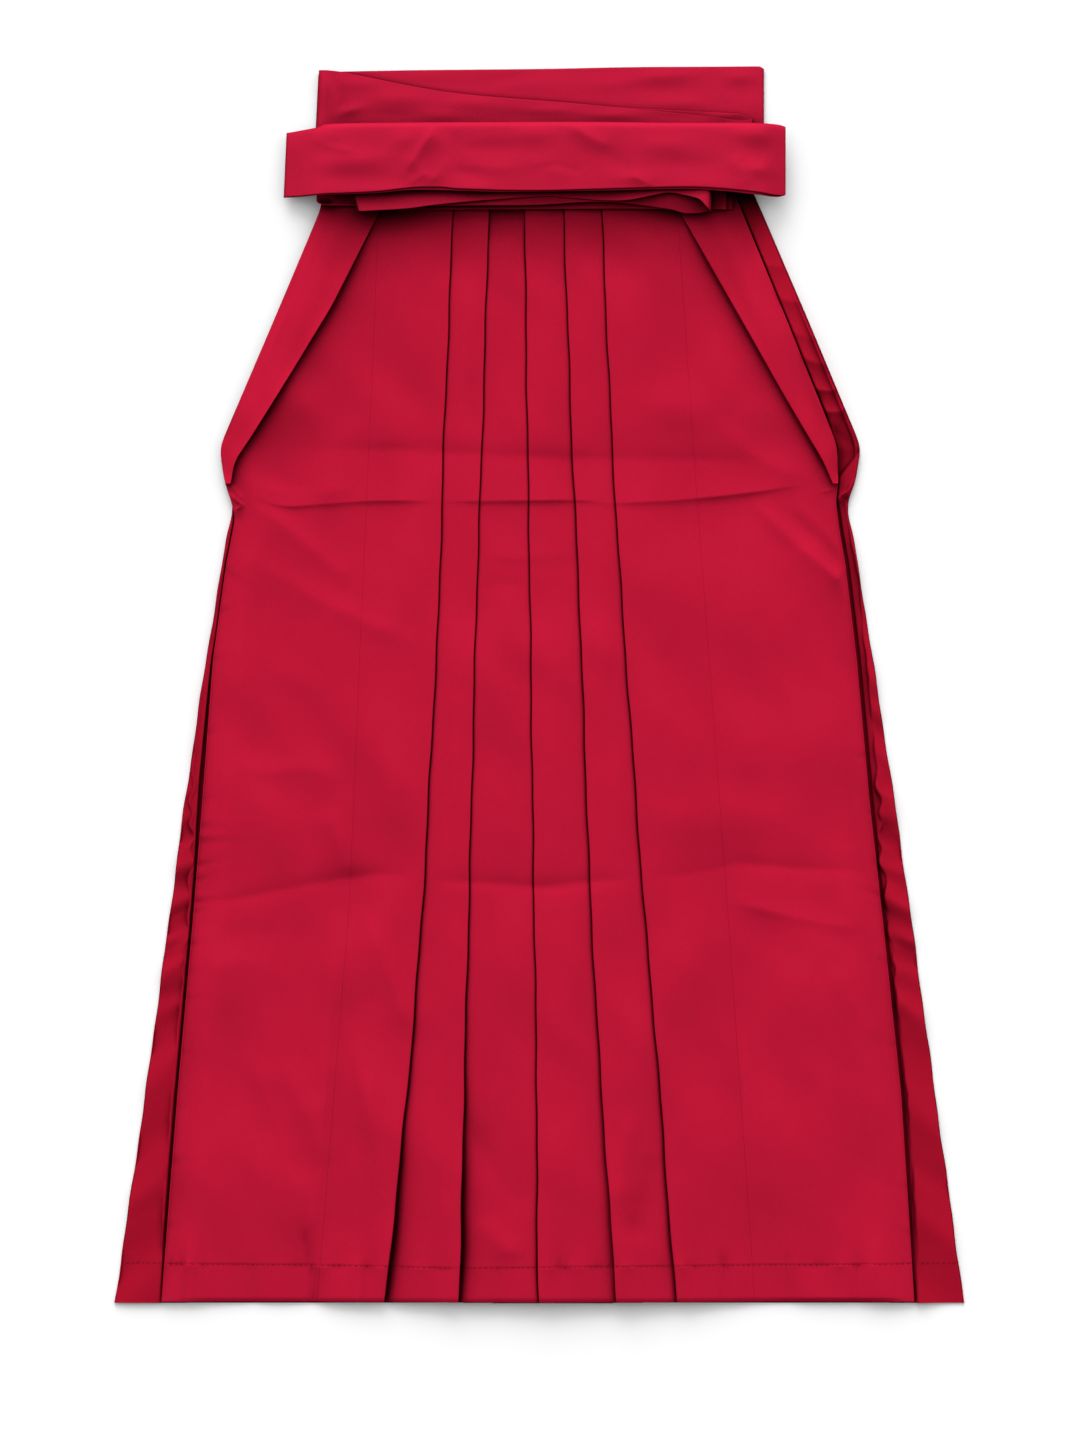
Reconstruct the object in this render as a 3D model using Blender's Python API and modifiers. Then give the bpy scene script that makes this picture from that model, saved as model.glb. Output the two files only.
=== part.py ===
"""Hakama trousers laid flat with the front up, the ties folded across the waist.

Two legs of plain cloth, each a front and a back closed by a gusset, lie on each other.
The front has five knife pleats that face the middle, the back two, and every pleat is
real folded cloth: a face, a return and an underlay.

The cloth is drawn as its mid-surface, in millimetres, through stations from waist to hem,
and a Solidify modifier gives it its wall. +X is the wearer's left, +Y the waist end and
+Z up. The origin lies on the ground under the middle of the garment.
"""

import itertools

import bmesh
import bpy

MM = 0.001

# ---- Driving sizes, in millimetres -------------------------------------------------

CLOTH = 1.0                # wall of one layer of cloth
GAP = 0.3                  # air between layers, and at seams
PITCH = CLOTH + GAP        # from one layer to the next

TOTAL_LENGTH = 1030.0
HEM = -TOTAL_LENGTH / 2
BELOW_TIE = 910.0          # from the waistband's lower edge to the hem
BAND_WIDTH = 58.0
BAND_LOW = HEM + BELOW_TIE
BAND_HIGH = BAND_LOW + BAND_WIDTH
FRONT_TOP = BAND_HIGH - 13.0
BACK_BAND_LOW = TOTAL_LENGTH / 2 - BAND_WIDTH
BACK_TOP = BACK_BAND_LOW - GAP
CROTCH = HEM + 535.0       # top of the gussets

HEM_RETURN = 15.0          # turned in along the front's outer edge
BACK_STRIP_UNDER = 20.0    # the back's folded side reaches this far under the front
SEAM_FROM_FOLD = 11.5      # centre seam, inside the middle pleat
PLEAT_SHARE = 0.5          # a pleat's hidden depth, as a share of the strip beside it
BACK_BAND_THICK = 2.5

# Back pleats: from the centre seam to the folded edge, and the depth behind it.
BACK_FOLD_WAIST, BACK_FOLD_HEM = 12.0, 30.0
BACK_DEPTH_WAIST, BACK_DEPTH_HEM = 15.0, 45.0
GUSSET_INSIDE_PLEAT = 25.0

# How the cloth settles over what lies under it.
PLEAT_FADE, GUSSET_FADE, STRIP_FADE, RETURN_FADE, LEVEL_FADE = 55.0, 75.0, 28.0, 20.0, 40.0
BESIDE_PLEAT, BESIDE_GUSSET = 20.0, 22.0
WAIST_LIFT, WAIST_LIFT_START, WAIST_LIFT_LENGTH = 2.6, 300.0, 95.0
GUSSET_RISE = 80.0         # the front climbs onto the gussets over this length

# Outer edges: height above the origin, then the front's and the back's edge on each side.
EDGES = (
    # y, front right, front left, back right, back left
    (456.0, -183.0, 167.0, -185.0, 186.0),
    (395.0, -182.5, 167.5, -181.0, 184.5),
    (300.0, -223.0, 207.0, -219.5, 225.0),
    (204.0, -264.0, 245.5, -260.0, 265.0),
    (195.0, -266.5, 247.5, -262.0, 267.0),
    (170.0, -263.0, 248.5, -260.5, 263.0),
    (152.0, -257.0, 246.5, -256.0, 256.5),
    (139.0, -254.0, 248.0, -257.0, 257.0),
    (125.0, -256.5, 250.0, -261.0, 261.0),
    (100.0, -261.5, 254.5, -265.0, 265.0),
    (20.0, -272.5, 264.0, -278.5, 277.5),
    (-101.0, -281.5, 275.0, -296.5, 295.5),
    (-195.0, -289.0, 285.5, -309.0, 308.5),
    (-342.0, -302.0, 301.0, -329.0, 328.5),
    (HEM, -315.5, 312.0, -354.5, 353.5),
)

# Folded edges of the five front pleats, as they run from the waist to the hem.
PLEATS = (
    # y, first, second, middle, fourth, fifth
    (440.0, -70.4, -41.2, -13.2, 18.3, 49.4),
    (395.0, -72.3, -42.6, -12.6, 19.9, 51.4),
    (191.0, -80.8, -48.8, -9.8, 27.2, 60.6),
    (70.0, -84.0, -53.2, -7.9, 33.1, 68.2),
    (-180.0, -97.5, -59.3, -4.7, 42.2, 86.3),
    (-313.0, -108.0, -62.8, -2.4, 49.7, 98.1),
    (-480.0, -125.2, -66.2, -1.9, 61.0, 110.4),
    (HEM, -129.5, -68.2, -0.9, 63.8, 113.8),
)

# Seams that join the two widths of cloth in each front.
WIDTH_SEAMS = (
    # y, right leg, left leg
    (440.0, -132.0, 110.8),
    (141.0, -145.0, 131.7),
    (-185.0, -159.0, 156.0),
    (HEM, -185.5, 179.0),
)

# Inner edge of the slanting side folds that lie on the front above the side openings.
SIDE_FOLDS = (
    # y, right, left
    (440.0, -109.4, 88.9),
    (395.0, -132.5, 115.0),
    (313.0, -174.0, 162.0),
    (243.0, -216.7, 201.5),
    (204.0, -241.5, 224.5),
    (186.0, -254.0, 235.5),
    (166.0, -257.5, 244.0),
)

STATIONS = (
    440, 395, 372, 348, 324, 300, 265, 235, 204, 195, 183, 170, 152, 139, 125, 100,
    90, 80, 70, 60, 50, 40, 30, 20, -20, -101, -195, -268, -342, -400, -450, -480, HEM,
)

# Ties: along X from the free end to the folded end, and across Y.
BACK_BAND_X = (-186.0, 186.5)
FRONT_BAND_X = (-183.5, 167.0)
BACK_TIE_X = (-184.0, 180.5)
BACK_TIE_TOP = (511.0, 469.0)       # upper edge at the left end, at the right end
FRONT_TIE_X = (-212.0, 204.0)
FRONT_TIE_Y = (405.5, 465.5)
INNER_TIE_X = (-150.0, 145.0)
INNER_TIE_Y = (393.5, 450.0)
CORE_X = (-182.0, 155.0)
CORE_Y = (394.5, 452.0)
CORE_THICK = 2.3
TIE_BASE = 8.3             # underside of the front waistband, on the pleats
END_DROOP = (7.0, 3.0)              # how far the front tie's ends sink
DROOP_LENGTH = 26.0

RED = (0.50, 0.010, 0.035, 1.0)
CLOTH_ROUGHNESS, TIE_ROUGHNESS = 0.55, 0.45


# ---- Small helpers -----------------------------------------------------------------

def smooth(share):
    """0 to 1 with a soft start and end."""
    share = min(1.0, max(0.0, share))
    return share * share * (3 - 2 * share)


def fade(past, length):
    """1 up to an edge, and down to 0 by length past it."""
    return 1.0 - smooth(past / length)


def mix(low, high, share):
    return low + (high - low) * share


def read(table, y, column):
    """The table's column at height y, straight between its rows."""
    for upper, lower in itertools.pairwise(table):
        if y >= lower[0]:
            break
    return mix(upper[column], lower[column], (upper[0] - y) / (upper[0] - lower[0]))


# ---- Where the cloth lies ----------------------------------------------------------

RIGHT, LEFT = -1, 1        # the wearer's sides


def front_edge(side, y):
    return read(EDGES, y, 1 if side == RIGHT else 2)


def back_edge(side, y):
    return read(EDGES, y, 3 if side == RIGHT else 4)


def pleat(number, y):
    return read(PLEATS, y, number)


def width_seam(side, y):
    return read(WIDTH_SEAMS, y, 1 if side == RIGHT else 2)


def side_fold(side, y):
    return read(SIDE_FOLDS, y, 1 if side == RIGHT else 2)


def centre_seam(y):
    return pleat(3, y) + SEAM_FROM_FOLD


def pleat_depth(side, y):
    first, second = (1, 2) if side == RIGHT else (4, 5)
    return PLEAT_SHARE * (pleat(second, y) - pleat(first, y))


def down_share(y):
    """0 at the back's top edge, 1 at the hem."""
    return (BACK_TOP - y) / (BACK_TOP - HEM)


def back_fold(y):
    return mix(BACK_FOLD_WAIST, BACK_FOLD_HEM, down_share(y))


def back_depth(y):
    return mix(BACK_DEPTH_WAIST, BACK_DEPTH_HEM, down_share(y))


def gusset_width(y):
    return back_fold(y) + back_depth(y) - GUSSET_INSIDE_PLEAT


def layer(number):
    """Mid-surface height of a layer, counted from 0 on the ground."""
    return number * PITCH + CLOTH / 2


def under_front(x, y):
    """Height that the front's lowest layer rests at: over back pleats, gussets and folded sides."""
    side = RIGHT if x < centre_seam(y) else LEFT
    from_seam = abs(x - centre_seam(y))
    from_edge = abs(front_edge(side, y) - x)
    reach = back_fold(y) + back_depth(y) + BESIDE_PLEAT
    over_pleats = 2 * PITCH * fade(from_seam - reach, PLEAT_FADE)
    on_gussets = smooth((CROTCH + GUSSET_RISE - y) / GUSSET_RISE)
    over_gussets = 4 * PITCH * on_gussets * fade(from_seam - gusset_width(y) - BESIDE_GUSSET, GUSSET_FADE)
    over_strip = PITCH * fade(from_edge - BACK_STRIP_UNDER - 2, STRIP_FADE)
    at_waist = WAIST_LIFT * smooth((y - WAIST_LIFT_START) / WAIST_LIFT_LENGTH)
    rises = (over_pleats, over_gussets, over_strip, at_waist)
    return PITCH + sum(rise ** 4 for rise in rises) ** 0.25


def front_height(x, y, level):
    """Mid-surface height of a front layer, level layers above the front's lowest."""
    return under_front(x, y) + CLOTH / 2 + level * PITCH


def side_panel_level(side, x, y):
    """How many of the front's own layers lie under its wide side panel."""
    inner_pleat = pleat(1, y) if side == RIGHT else pleat(5, y)
    past_pleat = side * (x - inner_pleat) - pleat_depth(side, y) - 2
    past_return = side * (front_edge(side, y) - x) - HEM_RETURN - 2
    return 2 * fade(past_pleat, LEVEL_FADE) + fade(past_return, RETURN_FADE)


def side_panel_height(side, x, y):
    return front_height(x, y, side_panel_level(side, x, y))


# ---- Sections ----------------------------------------------------------------------

def turned(edge, from_z, to_z, lies):
    """Three points round a folded edge. lies is +1 where the cloth lies on its +X side."""
    nose = edge + lies * CLOTH / 2
    bend = abs(to_z - from_z) / 2
    return [(nose + lies * bend, from_z), (nose, (from_z + to_z) / 2), (nose + lies * bend, to_z)]


def spread(start, end, count):
    """count numbers from start to end, both included."""
    return [mix(start, end, i / (count - 1)) for i in range(count)]


def front_side_section(side, y):
    """The outer width of a front: its turned-in edge, then the panel up to the seam."""
    edge = front_edge(side, y)
    inside = edge - side * HEM_RETURN
    return_z = front_height(edge, y, 0)
    section = [(inside, front_height(inside, y, 0))]
    section += turned(edge, return_z, return_z + PITCH, -side)
    seam = width_seam(side, y) + side * GAP / 2
    for x in spread(inside - side * 3, seam, 5):
        section.append((x, side_panel_height(side, x, y)))
    return section


def knife_pleat(folded, depth, y, lies):
    """A pleat from its face at level 2 to its underlay at level 0. The hidden part lies on side lies."""
    hidden = folded + lies * depth
    outer = front_height(folded, y, 0)
    inner = front_height(hidden, y, 0)
    face_end = turned(folded, outer + 2 * PITCH, outer + PITCH, lies)
    underlay_start = turned(hidden, inner + PITCH, inner, -lies)
    return face_end + underlay_start


def front_right_section(y):
    """Inner width of the right front: panel, first pleat, strip, second pleat, centre strip."""
    first, second, depth = pleat(1, y), pleat(2, y), pleat_depth(RIGHT, y)
    seam = width_seam(RIGHT, y) + GAP / 2
    section = []
    for x in spread(seam, first - depth - 3, 4):
        section.append((x, side_panel_height(RIGHT, x, y)))
    section += knife_pleat(first, depth, y, RIGHT)
    section.append((first + 0.5, front_height(first + 0.5, y, 0)))
    top_start = second - depth - 1
    section.append((top_start, front_height(top_start, y, 2)))
    section += knife_pleat(second, depth, y, RIGHT)
    for x in spread(second + 1, centre_seam(y) - GAP / 2, 7):
        section.append((x, front_height(x, y, 0)))
    return section


def front_left_section(y):
    """Inner width of the left front: centre seam, middle pleat, two strips and their pleats, panel."""
    middle, fourth, fifth = pleat(3, y), pleat(4, y), pleat(5, y)
    depth, seam = pleat_depth(LEFT, y), centre_seam(y)
    fold_z = front_height(middle, y, 1)
    section = [(seam, front_height(seam, y, 1))]
    section += turned(middle, fold_z, fold_z + PITCH, LEFT)
    over_seam = seam + 2
    section.append((over_seam, front_height(over_seam, y, 2)))
    for folded in (fourth, fifth):
        section.append((folded - 0.5, front_height(folded - 0.5, y, 0)))
        section += reversed(knife_pleat(folded, depth, y, LEFT))
        over_pleat = folded + depth + 1
        section.append((over_pleat, front_height(over_pleat, y, 2)))
    outer = width_seam(LEFT, y) - GAP / 2
    for x in spread(fifth + depth + 12, outer, 4):
        section.append((x, side_panel_height(LEFT, x, y)))
    return section


def back_section(side, y):
    """A back, from the centre seam through its pleat, across the ground and up over its folded side."""
    seam = centre_seam(y)
    fold = seam + side * back_fold(y)
    inner = fold + side * back_depth(y)
    edge = back_edge(side, y)
    strip_end = front_edge(side, y) - side * BACK_STRIP_UNDER
    section = [(seam + side * GAP / 2, layer(2))]
    section += turned(inner, layer(2), layer(1), -side)
    section += turned(fold, layer(1), layer(0), side)
    for x in spread(inner, strip_end, 2):
        section.append((x, layer(0)))
    section += turned(edge, layer(0), layer(1), -side)
    section.append((strip_end, layer(1)))
    return section


def gusset_section(side, y):
    """A gusset folded in half inside its leg, its two edges at the centre seam."""
    start = centre_seam(y) + side * GAP / 2
    fold = turned(centre_seam(y) + side * gusset_width(y), layer(4), layer(3), -side)
    return [(start, layer(4)), *fold, (start, layer(3))]


def side_fold_section(side, y):
    """The slanting fold that lies on the front along the side opening."""
    outer = front_edge(side, y) - side * CLOTH / 2
    lift = PITCH + 0.2
    return [
        (x, side_panel_height(side, x, y) + lift)
        for x in spread(outer, side_fold(side, y), 5)
    ]


# ---- Building ----------------------------------------------------------------------

def clear_scene():
    for obj in list(bpy.data.objects):
        bpy.data.objects.remove(obj)


def red_twill(name):
    """The cloth of one piece. The ties are the smoothest."""
    material = bpy.data.materials.new(f"{name}_twill")
    material.use_nodes = True
    shader = material.node_tree.nodes["Principled BSDF"]
    shader.inputs["Base Color"].default_value = RED
    shader.inputs["Roughness"].default_value = TIE_ROUGHNESS if "tie" in name else CLOTH_ROUGHNESS
    shader.inputs["Metallic"].default_value = 0.0
    return material


def cloth(name, rows, collection, thickness=CLOTH):
    """A wall of cloth whose mid-surface goes through rows of points, all rows equally long."""
    shape = bmesh.new()
    across, along = len(rows[0]) - 1, len(rows) - 1
    bmesh.ops.create_grid(shape, x_segments=across, y_segments=along, size=1)
    for vert, point in zip(shape.verts, itertools.chain.from_iterable(rows)):
        vert.co = [MM * value for value in point]
    mesh = bpy.data.meshes.new(name)
    shape.to_mesh(mesh)
    shape.free()
    mesh.materials.append(red_twill(name))
    obj = bpy.data.objects.new(name, mesh)
    collection.objects.link(obj)
    wall = obj.modifiers.new("wall", "SOLIDIFY")
    wall.thickness = MM * thickness
    wall.offset = 0
    wall.use_even_offset = True
    return obj


def panel(name, section, stations, collection):
    """Cloth through one section for each station, from the waist down."""
    rows = [[(x, y, z) for x, z in section(y)] for y in stations]
    return cloth(name, rows, collection)


def below(top):
    """The stations from top to the hem, with top itself."""
    return [top] + [y for y in STATIONS if y < top]


def build_legs(collection):
    front, back = below(FRONT_TOP), below(BACK_TOP)
    inside = below(CROTCH)
    panel("front_right_centre", front_right_section, front, collection)
    panel("front_left_centre", front_left_section, front, collection)
    folds = [y for y in below(FRONT_TOP) if y > SIDE_FOLDS[-1][0]]
    for side, word in ((RIGHT, "right"), (LEFT, "left")):
        parts = (
            (f"front_{word}_side", front_side_section, front),
            (f"back_{word}", back_section, back),
            (f"gusset_{word}", gusset_section, inside),
            (f"side_fold_{word}", side_fold_section, folds),
        )
        for name, section, stations in parts:
            panel(name, lambda y, s=section: s(side, y), stations, collection)


def band(name, ends, low, high, z, thickness, collection):
    """A flat waistband."""
    rows = [[(x, y, z) for x in spread(*ends, 5)] for y in (high, low)]
    return cloth(name, rows, collection, thickness)


def folded_tie(name, ends, low, high, height, rows_across, collection):
    """A tie folded back on itself at its second end. low, high and height are functions."""
    free, folded = ends
    rows = []
    for share in spread(1.0, 0.0, rows_across):
        lower, upper = [], []
        for x in spread(free, folded - PITCH, 13):
            y = mix(low(x), high(x), share)
            lower.append((x, y, height(x, y)))
            upper.append((x, y, height(x, y) + PITCH))
        y = mix(low(folded), high(folded), share)
        nose = (folded - CLOTH / 2, y, height(folded, y) + PITCH / 2)
        rows.append([*lower, nose, *reversed(upper)])
    return cloth(name, rows, collection)


def constant(value):
    return lambda x: value


def build_waist(collection):
    band("waistband_back", BACK_BAND_X, BACK_BAND_LOW, TOTAL_LENGTH / 2,
         BACK_BAND_THICK / 2, BACK_BAND_THICK, collection)
    band_z = TIE_BASE + CLOTH / 2
    band("waistband_front", FRONT_BAND_X, BAND_LOW, BAND_HIGH, band_z, CLOTH, collection)

    def back_tie_top(x):
        share = (x - BACK_TIE_X[0]) / (BACK_TIE_X[1] - BACK_TIE_X[0])
        return mix(*BACK_TIE_TOP, share)

    def back_tie_height(x, y):
        on_band = BACK_BAND_THICK + GAP + CLOTH / 2
        drop = smooth((y - BAND_HIGH - 6) / 36)
        return mix(band_z + PITCH, on_band, drop)

    folded_tie("tie_back", BACK_TIE_X, lambda x: back_tie_top(x) - BAND_WIDTH, back_tie_top,
               back_tie_height, 9, collection)

    core_low = band_z + 3 * PITCH - CLOTH / 2
    build_core(core_low, collection)
    inner_z = core_low + CORE_THICK + GAP + CLOTH / 2
    folded_tie("tie_inner", INNER_TIE_X, constant(INNER_TIE_Y[0]), constant(INNER_TIE_Y[1]),
               lambda x, y: inner_z, 2, collection)

    top_z = inner_z + 2 * PITCH

    def front_tie_height(x, y):
        start, end = FRONT_TIE_X
        left_end = END_DROOP[0] * fade(x - start, DROOP_LENGTH)
        right_end = END_DROOP[1] * fade(end - x, DROOP_LENGTH)
        return top_z - left_end - right_end

    folded_tie("tie_front", FRONT_TIE_X, constant(FRONT_TIE_Y[0]), constant(FRONT_TIE_Y[1]),
               front_tie_height, 2, collection)


def build_core(low, collection):
    """The tie's hidden folds, as one rounded solid."""
    bpy.ops.mesh.primitive_cube_add(size=1)
    core = bpy.context.object
    core.name = "tie_core"
    size = (CORE_X[1] - CORE_X[0], CORE_Y[1] - CORE_Y[0], CORE_THICK)
    place = (sum(CORE_X) / 2, sum(CORE_Y) / 2, low + CORE_THICK / 2)
    core.location = [MM * value for value in place]
    core.scale = [MM * value for value in size]
    bpy.ops.object.transform_apply(location=False, rotation=False, scale=True)
    rounded = core.modifiers.new("rounded", "BEVEL")
    rounded.width = MM * CORE_THICK * 0.45
    rounded.segments = 3
    core.data.materials.append(red_twill(core.name))
    for other in list(core.users_collection):
        other.objects.unlink(core)
    collection.objects.link(core)


def main():
    clear_scene()
    collection = bpy.data.collections.new("hakama")
    bpy.context.scene.collection.children.link(collection)
    build_legs(collection)
    build_waist(collection)


main()
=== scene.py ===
"""Hakama trousers laid flat with the front up: cloth, folds, sewing and a plain studio.

Every piece is a thin cloth surface that follows its solid in the frame. Sizes inside the
functions are in millimetres. +X is the wearer's left, +Y the waist end and +Z up.
"""

import itertools
import math
from functools import partial

import bmesh
import bpy
import numpy as np
from bpy.props import FloatProperty, FloatVectorProperty, IntProperty, PointerProperty
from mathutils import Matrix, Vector
from mathutils.bvhtree import BVHTree


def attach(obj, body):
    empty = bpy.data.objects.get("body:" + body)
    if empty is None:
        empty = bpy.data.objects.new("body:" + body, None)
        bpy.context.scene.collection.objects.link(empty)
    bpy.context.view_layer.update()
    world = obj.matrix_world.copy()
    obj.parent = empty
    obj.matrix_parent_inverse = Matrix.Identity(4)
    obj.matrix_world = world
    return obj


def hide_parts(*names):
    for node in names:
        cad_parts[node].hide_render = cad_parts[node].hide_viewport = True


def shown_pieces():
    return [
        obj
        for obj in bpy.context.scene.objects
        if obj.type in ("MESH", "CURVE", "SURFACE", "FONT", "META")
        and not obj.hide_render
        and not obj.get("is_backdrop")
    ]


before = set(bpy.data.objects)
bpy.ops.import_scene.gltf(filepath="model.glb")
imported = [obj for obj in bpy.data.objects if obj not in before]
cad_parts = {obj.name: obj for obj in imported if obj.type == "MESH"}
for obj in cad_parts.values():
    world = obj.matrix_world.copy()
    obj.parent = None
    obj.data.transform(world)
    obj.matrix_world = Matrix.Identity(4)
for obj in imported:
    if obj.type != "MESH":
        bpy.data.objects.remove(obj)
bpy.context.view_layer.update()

bl_info = {
    "name": "Hakama trousers",
    "version": (1, 0, 0),
    "blender": (4, 5, 0),
    "location": "3D View > Sidebar > Hakama",
    "description": "Builds a pair of hakama trousers laid flat, with pleats, folded ties and sewing",
    "category": "Object",
}

MM = 0.001
RIGHT, LEFT = -1, 1        # the wearer's sides
WORDS = {RIGHT: "right", LEFT: "left"}


# ---- Sizes and colours -------------------------------------------------------------

def length_property(name, description, default, low, high):
    return FloatProperty(name=name, description=description, default=default, min=low, max=high,
                         unit="LENGTH")


def colour_property(name, description, default):
    return FloatVectorProperty(name=name, description=description, subtype="COLOR", size=3,
                               min=0, max=1, default=default)


class HakamaSizes(bpy.types.PropertyGroup):
    cloth: length_property("Cloth", "Thickness of one layer of cloth", 0.0006, 0.0003, 0.001)
    tie_cloth: length_property("Tie", "Thickness of one layer of a tie, which is double cloth",
                               0.00105, 0.0005, 0.0012)
    grid: length_property("Grid", "Distance between points along the cloth", 0.0032, 0.002, 0.02)
    hem: length_property("Hem", "Depth of the hem, from its stitches to its edge", 0.0315, 0.01, 0.06)
    stitch: length_property("Stitch", "Length of one hem stitch", 0.0026, 0.001, 0.006)
    twill: length_property("Twill", "Distance between two ribs of the twill", 0.0007, 0.0003, 0.003)
    creases: FloatProperty(name="Creases", description="Strength of the creases and soft dents",
                           default=1.0, min=0.0, max=2.0)
    seed: IntProperty(name="Seed", description="Seed of the small irregularities", default=4)


class HakamaColours(bpy.types.PropertyGroup):
    front: colour_property("Front", "Cloth of the fronts", (0.535, 0.0096, 0.0392))
    # painted shade: the backs and gussets are the same cloth as the fronts, given a darker copy of its
    # colour for the shade they lie in beside the fronts
    back: colour_property("Back", "Cloth of the backs and gussets", (0.430, 0.0068, 0.0265))
    tie: colour_property("Ties", "Cloth of the ties and waistbands", (0.520, 0.0108, 0.0425))
    thread: colour_property("Thread", "Sewing thread", (0.30, 0.0040, 0.0160))
    floor: colour_property("Floor", "Plain studio floor", (0.96, 0.96, 0.96))


def sizes():
    return bpy.context.scene.hakama_sizes


def colours():
    return bpy.context.scene.hakama_colours


# ---- Pattern of the garment --------------------------------------------------------

PITCH = 1.3                # from one layer to the next
GAP = 0.3                  # between pieces of the waist
SEAM = 0.02                # between two panels that are sewn together
HEM = -515.0
BAND_LOW, BAND_HIGH = 395.0, 453.0
FRONT_TOP = 440.0
BACK_TOP = 456.7
CROTCH = 20.0              # top of the gussets
HEM_RETURN = 15.0          # turned in along the front's outer edge
BACK_STRIP_UNDER = 20.0    # the back's folded side reaches this far under the front
SEAM_FROM_FOLD = 11.5      # centre seam, inside the middle pleat
PLEAT_SHARE = 0.5          # a pleat's hidden depth, as a share of the strip beside it

# Back pleats: from the centre seam to the folded edge, and the depth behind it.
BACK_FOLD_WAIST, BACK_FOLD_HEM = 12.0, 30.0
BACK_DEPTH_WAIST, BACK_DEPTH_HEM = 15.0, 45.0
GUSSET_INSIDE_PLEAT = 25.0

# How the cloth settles over what lies under it: where it starts to come down beside the
# pleats and gussets, the lengths over which it comes down, and its rise at the waist.
BESIDE_PLEAT, BESIDE_GUSSET = 20.0, 22.0
PLEAT_FADE, GUSSET_FADE, STRIP_FADE, RETURN_FADE, LEVEL_FADE = 55.0, 75.0, 28.0, 20.0, 40.0
WAIST_LIFT, WAIST_LIFT_START, WAIST_LIFT_LENGTH = 2.6, 300.0, 95.0
WAIST_RISE, WAIST_RISE_START = 2.4, 338.0
ROOM, PILLOW = 2.4, 2.6    # air under both fronts, and more of it under the left one's side
CREASE_STRENGTH, DENT_STRENGTH = 1.15, 4.6
GUSSET_RISE = 80.0         # the front climbs onto the gussets over this length
TIE_BASE = 8.3             # underside of the front waistband, on the pleats
BACK_BAND_THICK = 2.5

# Outer edges: y, front right, front left, back right, back left.
EDGES = (
    (456.0, -181.0, 150.0, -182.0, 176.0),
    (420.0, -181.0, 157.0, -179.0, 173.5),
    (406.0, -181.5, 162.8, -179.5, 179.3),
    (395.0, -182.8, 167.5, -181.0, 184.3),
    (300.0, -223.0, 207.0, -219.5, 225.0),
    (204.0, -264.0, 245.5, -260.0, 265.0),
    (195.0, -266.5, 247.5, -262.0, 267.0),
    (170.0, -263.0, 248.5, -260.5, 263.0),
    (152.0, -257.0, 246.5, -256.0, 256.5),
    (139.0, -254.0, 248.0, -257.0, 257.0),
    (125.0, -256.5, 250.0, -261.0, 261.0),
    (100.0, -261.5, 254.5, -265.0, 265.0),
    (20.0, -272.5, 264.0, -278.5, 277.5),
    (-101.0, -281.5, 275.0, -296.5, 296.1),
    (-195.0, -289.0, 285.5, -309.0, 309.4),
    (-342.0, -302.0, 301.0, -329.0, 329.4),
    (HEM, -315.5, 312.0, -354.5, 353.5),
)

# Folded edges of the front pleats: y, first, second, middle, fourth, fifth.
PLEATS = (
    (440.0, -70.4, -41.2, -13.2, 18.3, 49.4),
    (395.0, -72.3, -42.6, -12.6, 19.9, 51.4),
    (191.0, -80.8, -48.8, -9.8, 27.2, 60.6),
    (70.0, -84.0, -53.2, -7.9, 33.1, 68.2),
    (-180.0, -97.5, -59.3, -4.7, 42.2, 86.3),
    (-313.0, -108.0, -62.8, -2.4, 49.7, 98.1),
    (-480.0, -125.2, -66.2, -1.9, 61.0, 110.4),
    (HEM, -129.5, -68.2, -0.9, 63.8, 113.8),
)

# Seams that join the two widths of each front: y, right leg, left leg.
WIDTH_SEAMS = (
    (440.0, -132.0, 110.8),
    (141.0, -145.0, 131.7),
    (-185.0, -159.0, 156.0),
    (HEM, -185.5, 179.0),
)

# Inner edges of the slanting side folds: y, right, left.
SIDE_FOLDS = (
    (440.0, -109.4, 88.9),
    (395.0, -132.5, 115.0),
    (313.0, -174.0, 162.0),
    (243.0, -216.7, 201.5),
    (204.0, -241.5, 224.5),
    (186.0, -254.0, 235.5),
    (166.0, -257.5, 244.0),
)

# Beside the front's edge: y, right slot, right seam, left slot, left seam. A slot is the
# width that stands open, a seam the distance of the side seam.
SIDE_SEAMS = (
    (200.0, 0.0, 2.0, 0.5, 3.0),
    (165.0, 0.0, 2.0, 1.0, 4.0),
    (140.0, 0.0, 2.5, 2.0, 6.5),
    (87.0, 0.0, 3.5, 2.3, 8.5),
    (37.0, 0.0, 6.0, 2.3, 7.0),
    (17.0, 0.8, 8.0, 2.3, 7.0),
    (-40.0, 2.2, 9.5, 2.4, 7.2),
    (-80.0, 3.2, 10.5, 2.4, 7.2),
    (-120.0, 2.5, 6.5, 2.3, 5.4),
    (-148.0, 1.5, 4.0, 1.6, 3.0),
    (-195.0, 1.5, 4.2, 2.5, 4.0),
    (-313.0, 1.3, 4.5, 2.2, 3.6),
    (-430.0, 1.6, 5.0, 2.2, 4.8),
    (-475.0, 1.2, 2.5, 1.6, 4.4),
    (-487.0, 0.0, 1.0, 0.3, 2.0),
    (HEM, 0.0, 0.5, 0.2, 1.5),
)

# How far the front's folded outer edges stand up: y, right, left.
EDGE_LIFTS = (
    (395.0, 0.0, 0.3),
    (300.0, 0.5, 0.4),
    (240.0, 0.7, 1.3),
    (200.0, 1.0, 2.2),
    (175.0, 0.8, 2.0),
    (150.0, 0.6, 1.4),
    (100.0, 0.7, 1.1),
    (20.0, 1.0, 1.2),
    (-101.0, 1.5, 1.2),
    (-195.0, 1.4, 1.2),
    (-342.0, 1.3, 1.2),
    (-440.0, 1.5, 1.2),
    (-486.0, 0.6, 0.6),
    (HEM, 0.2, 0.4),
)

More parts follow.
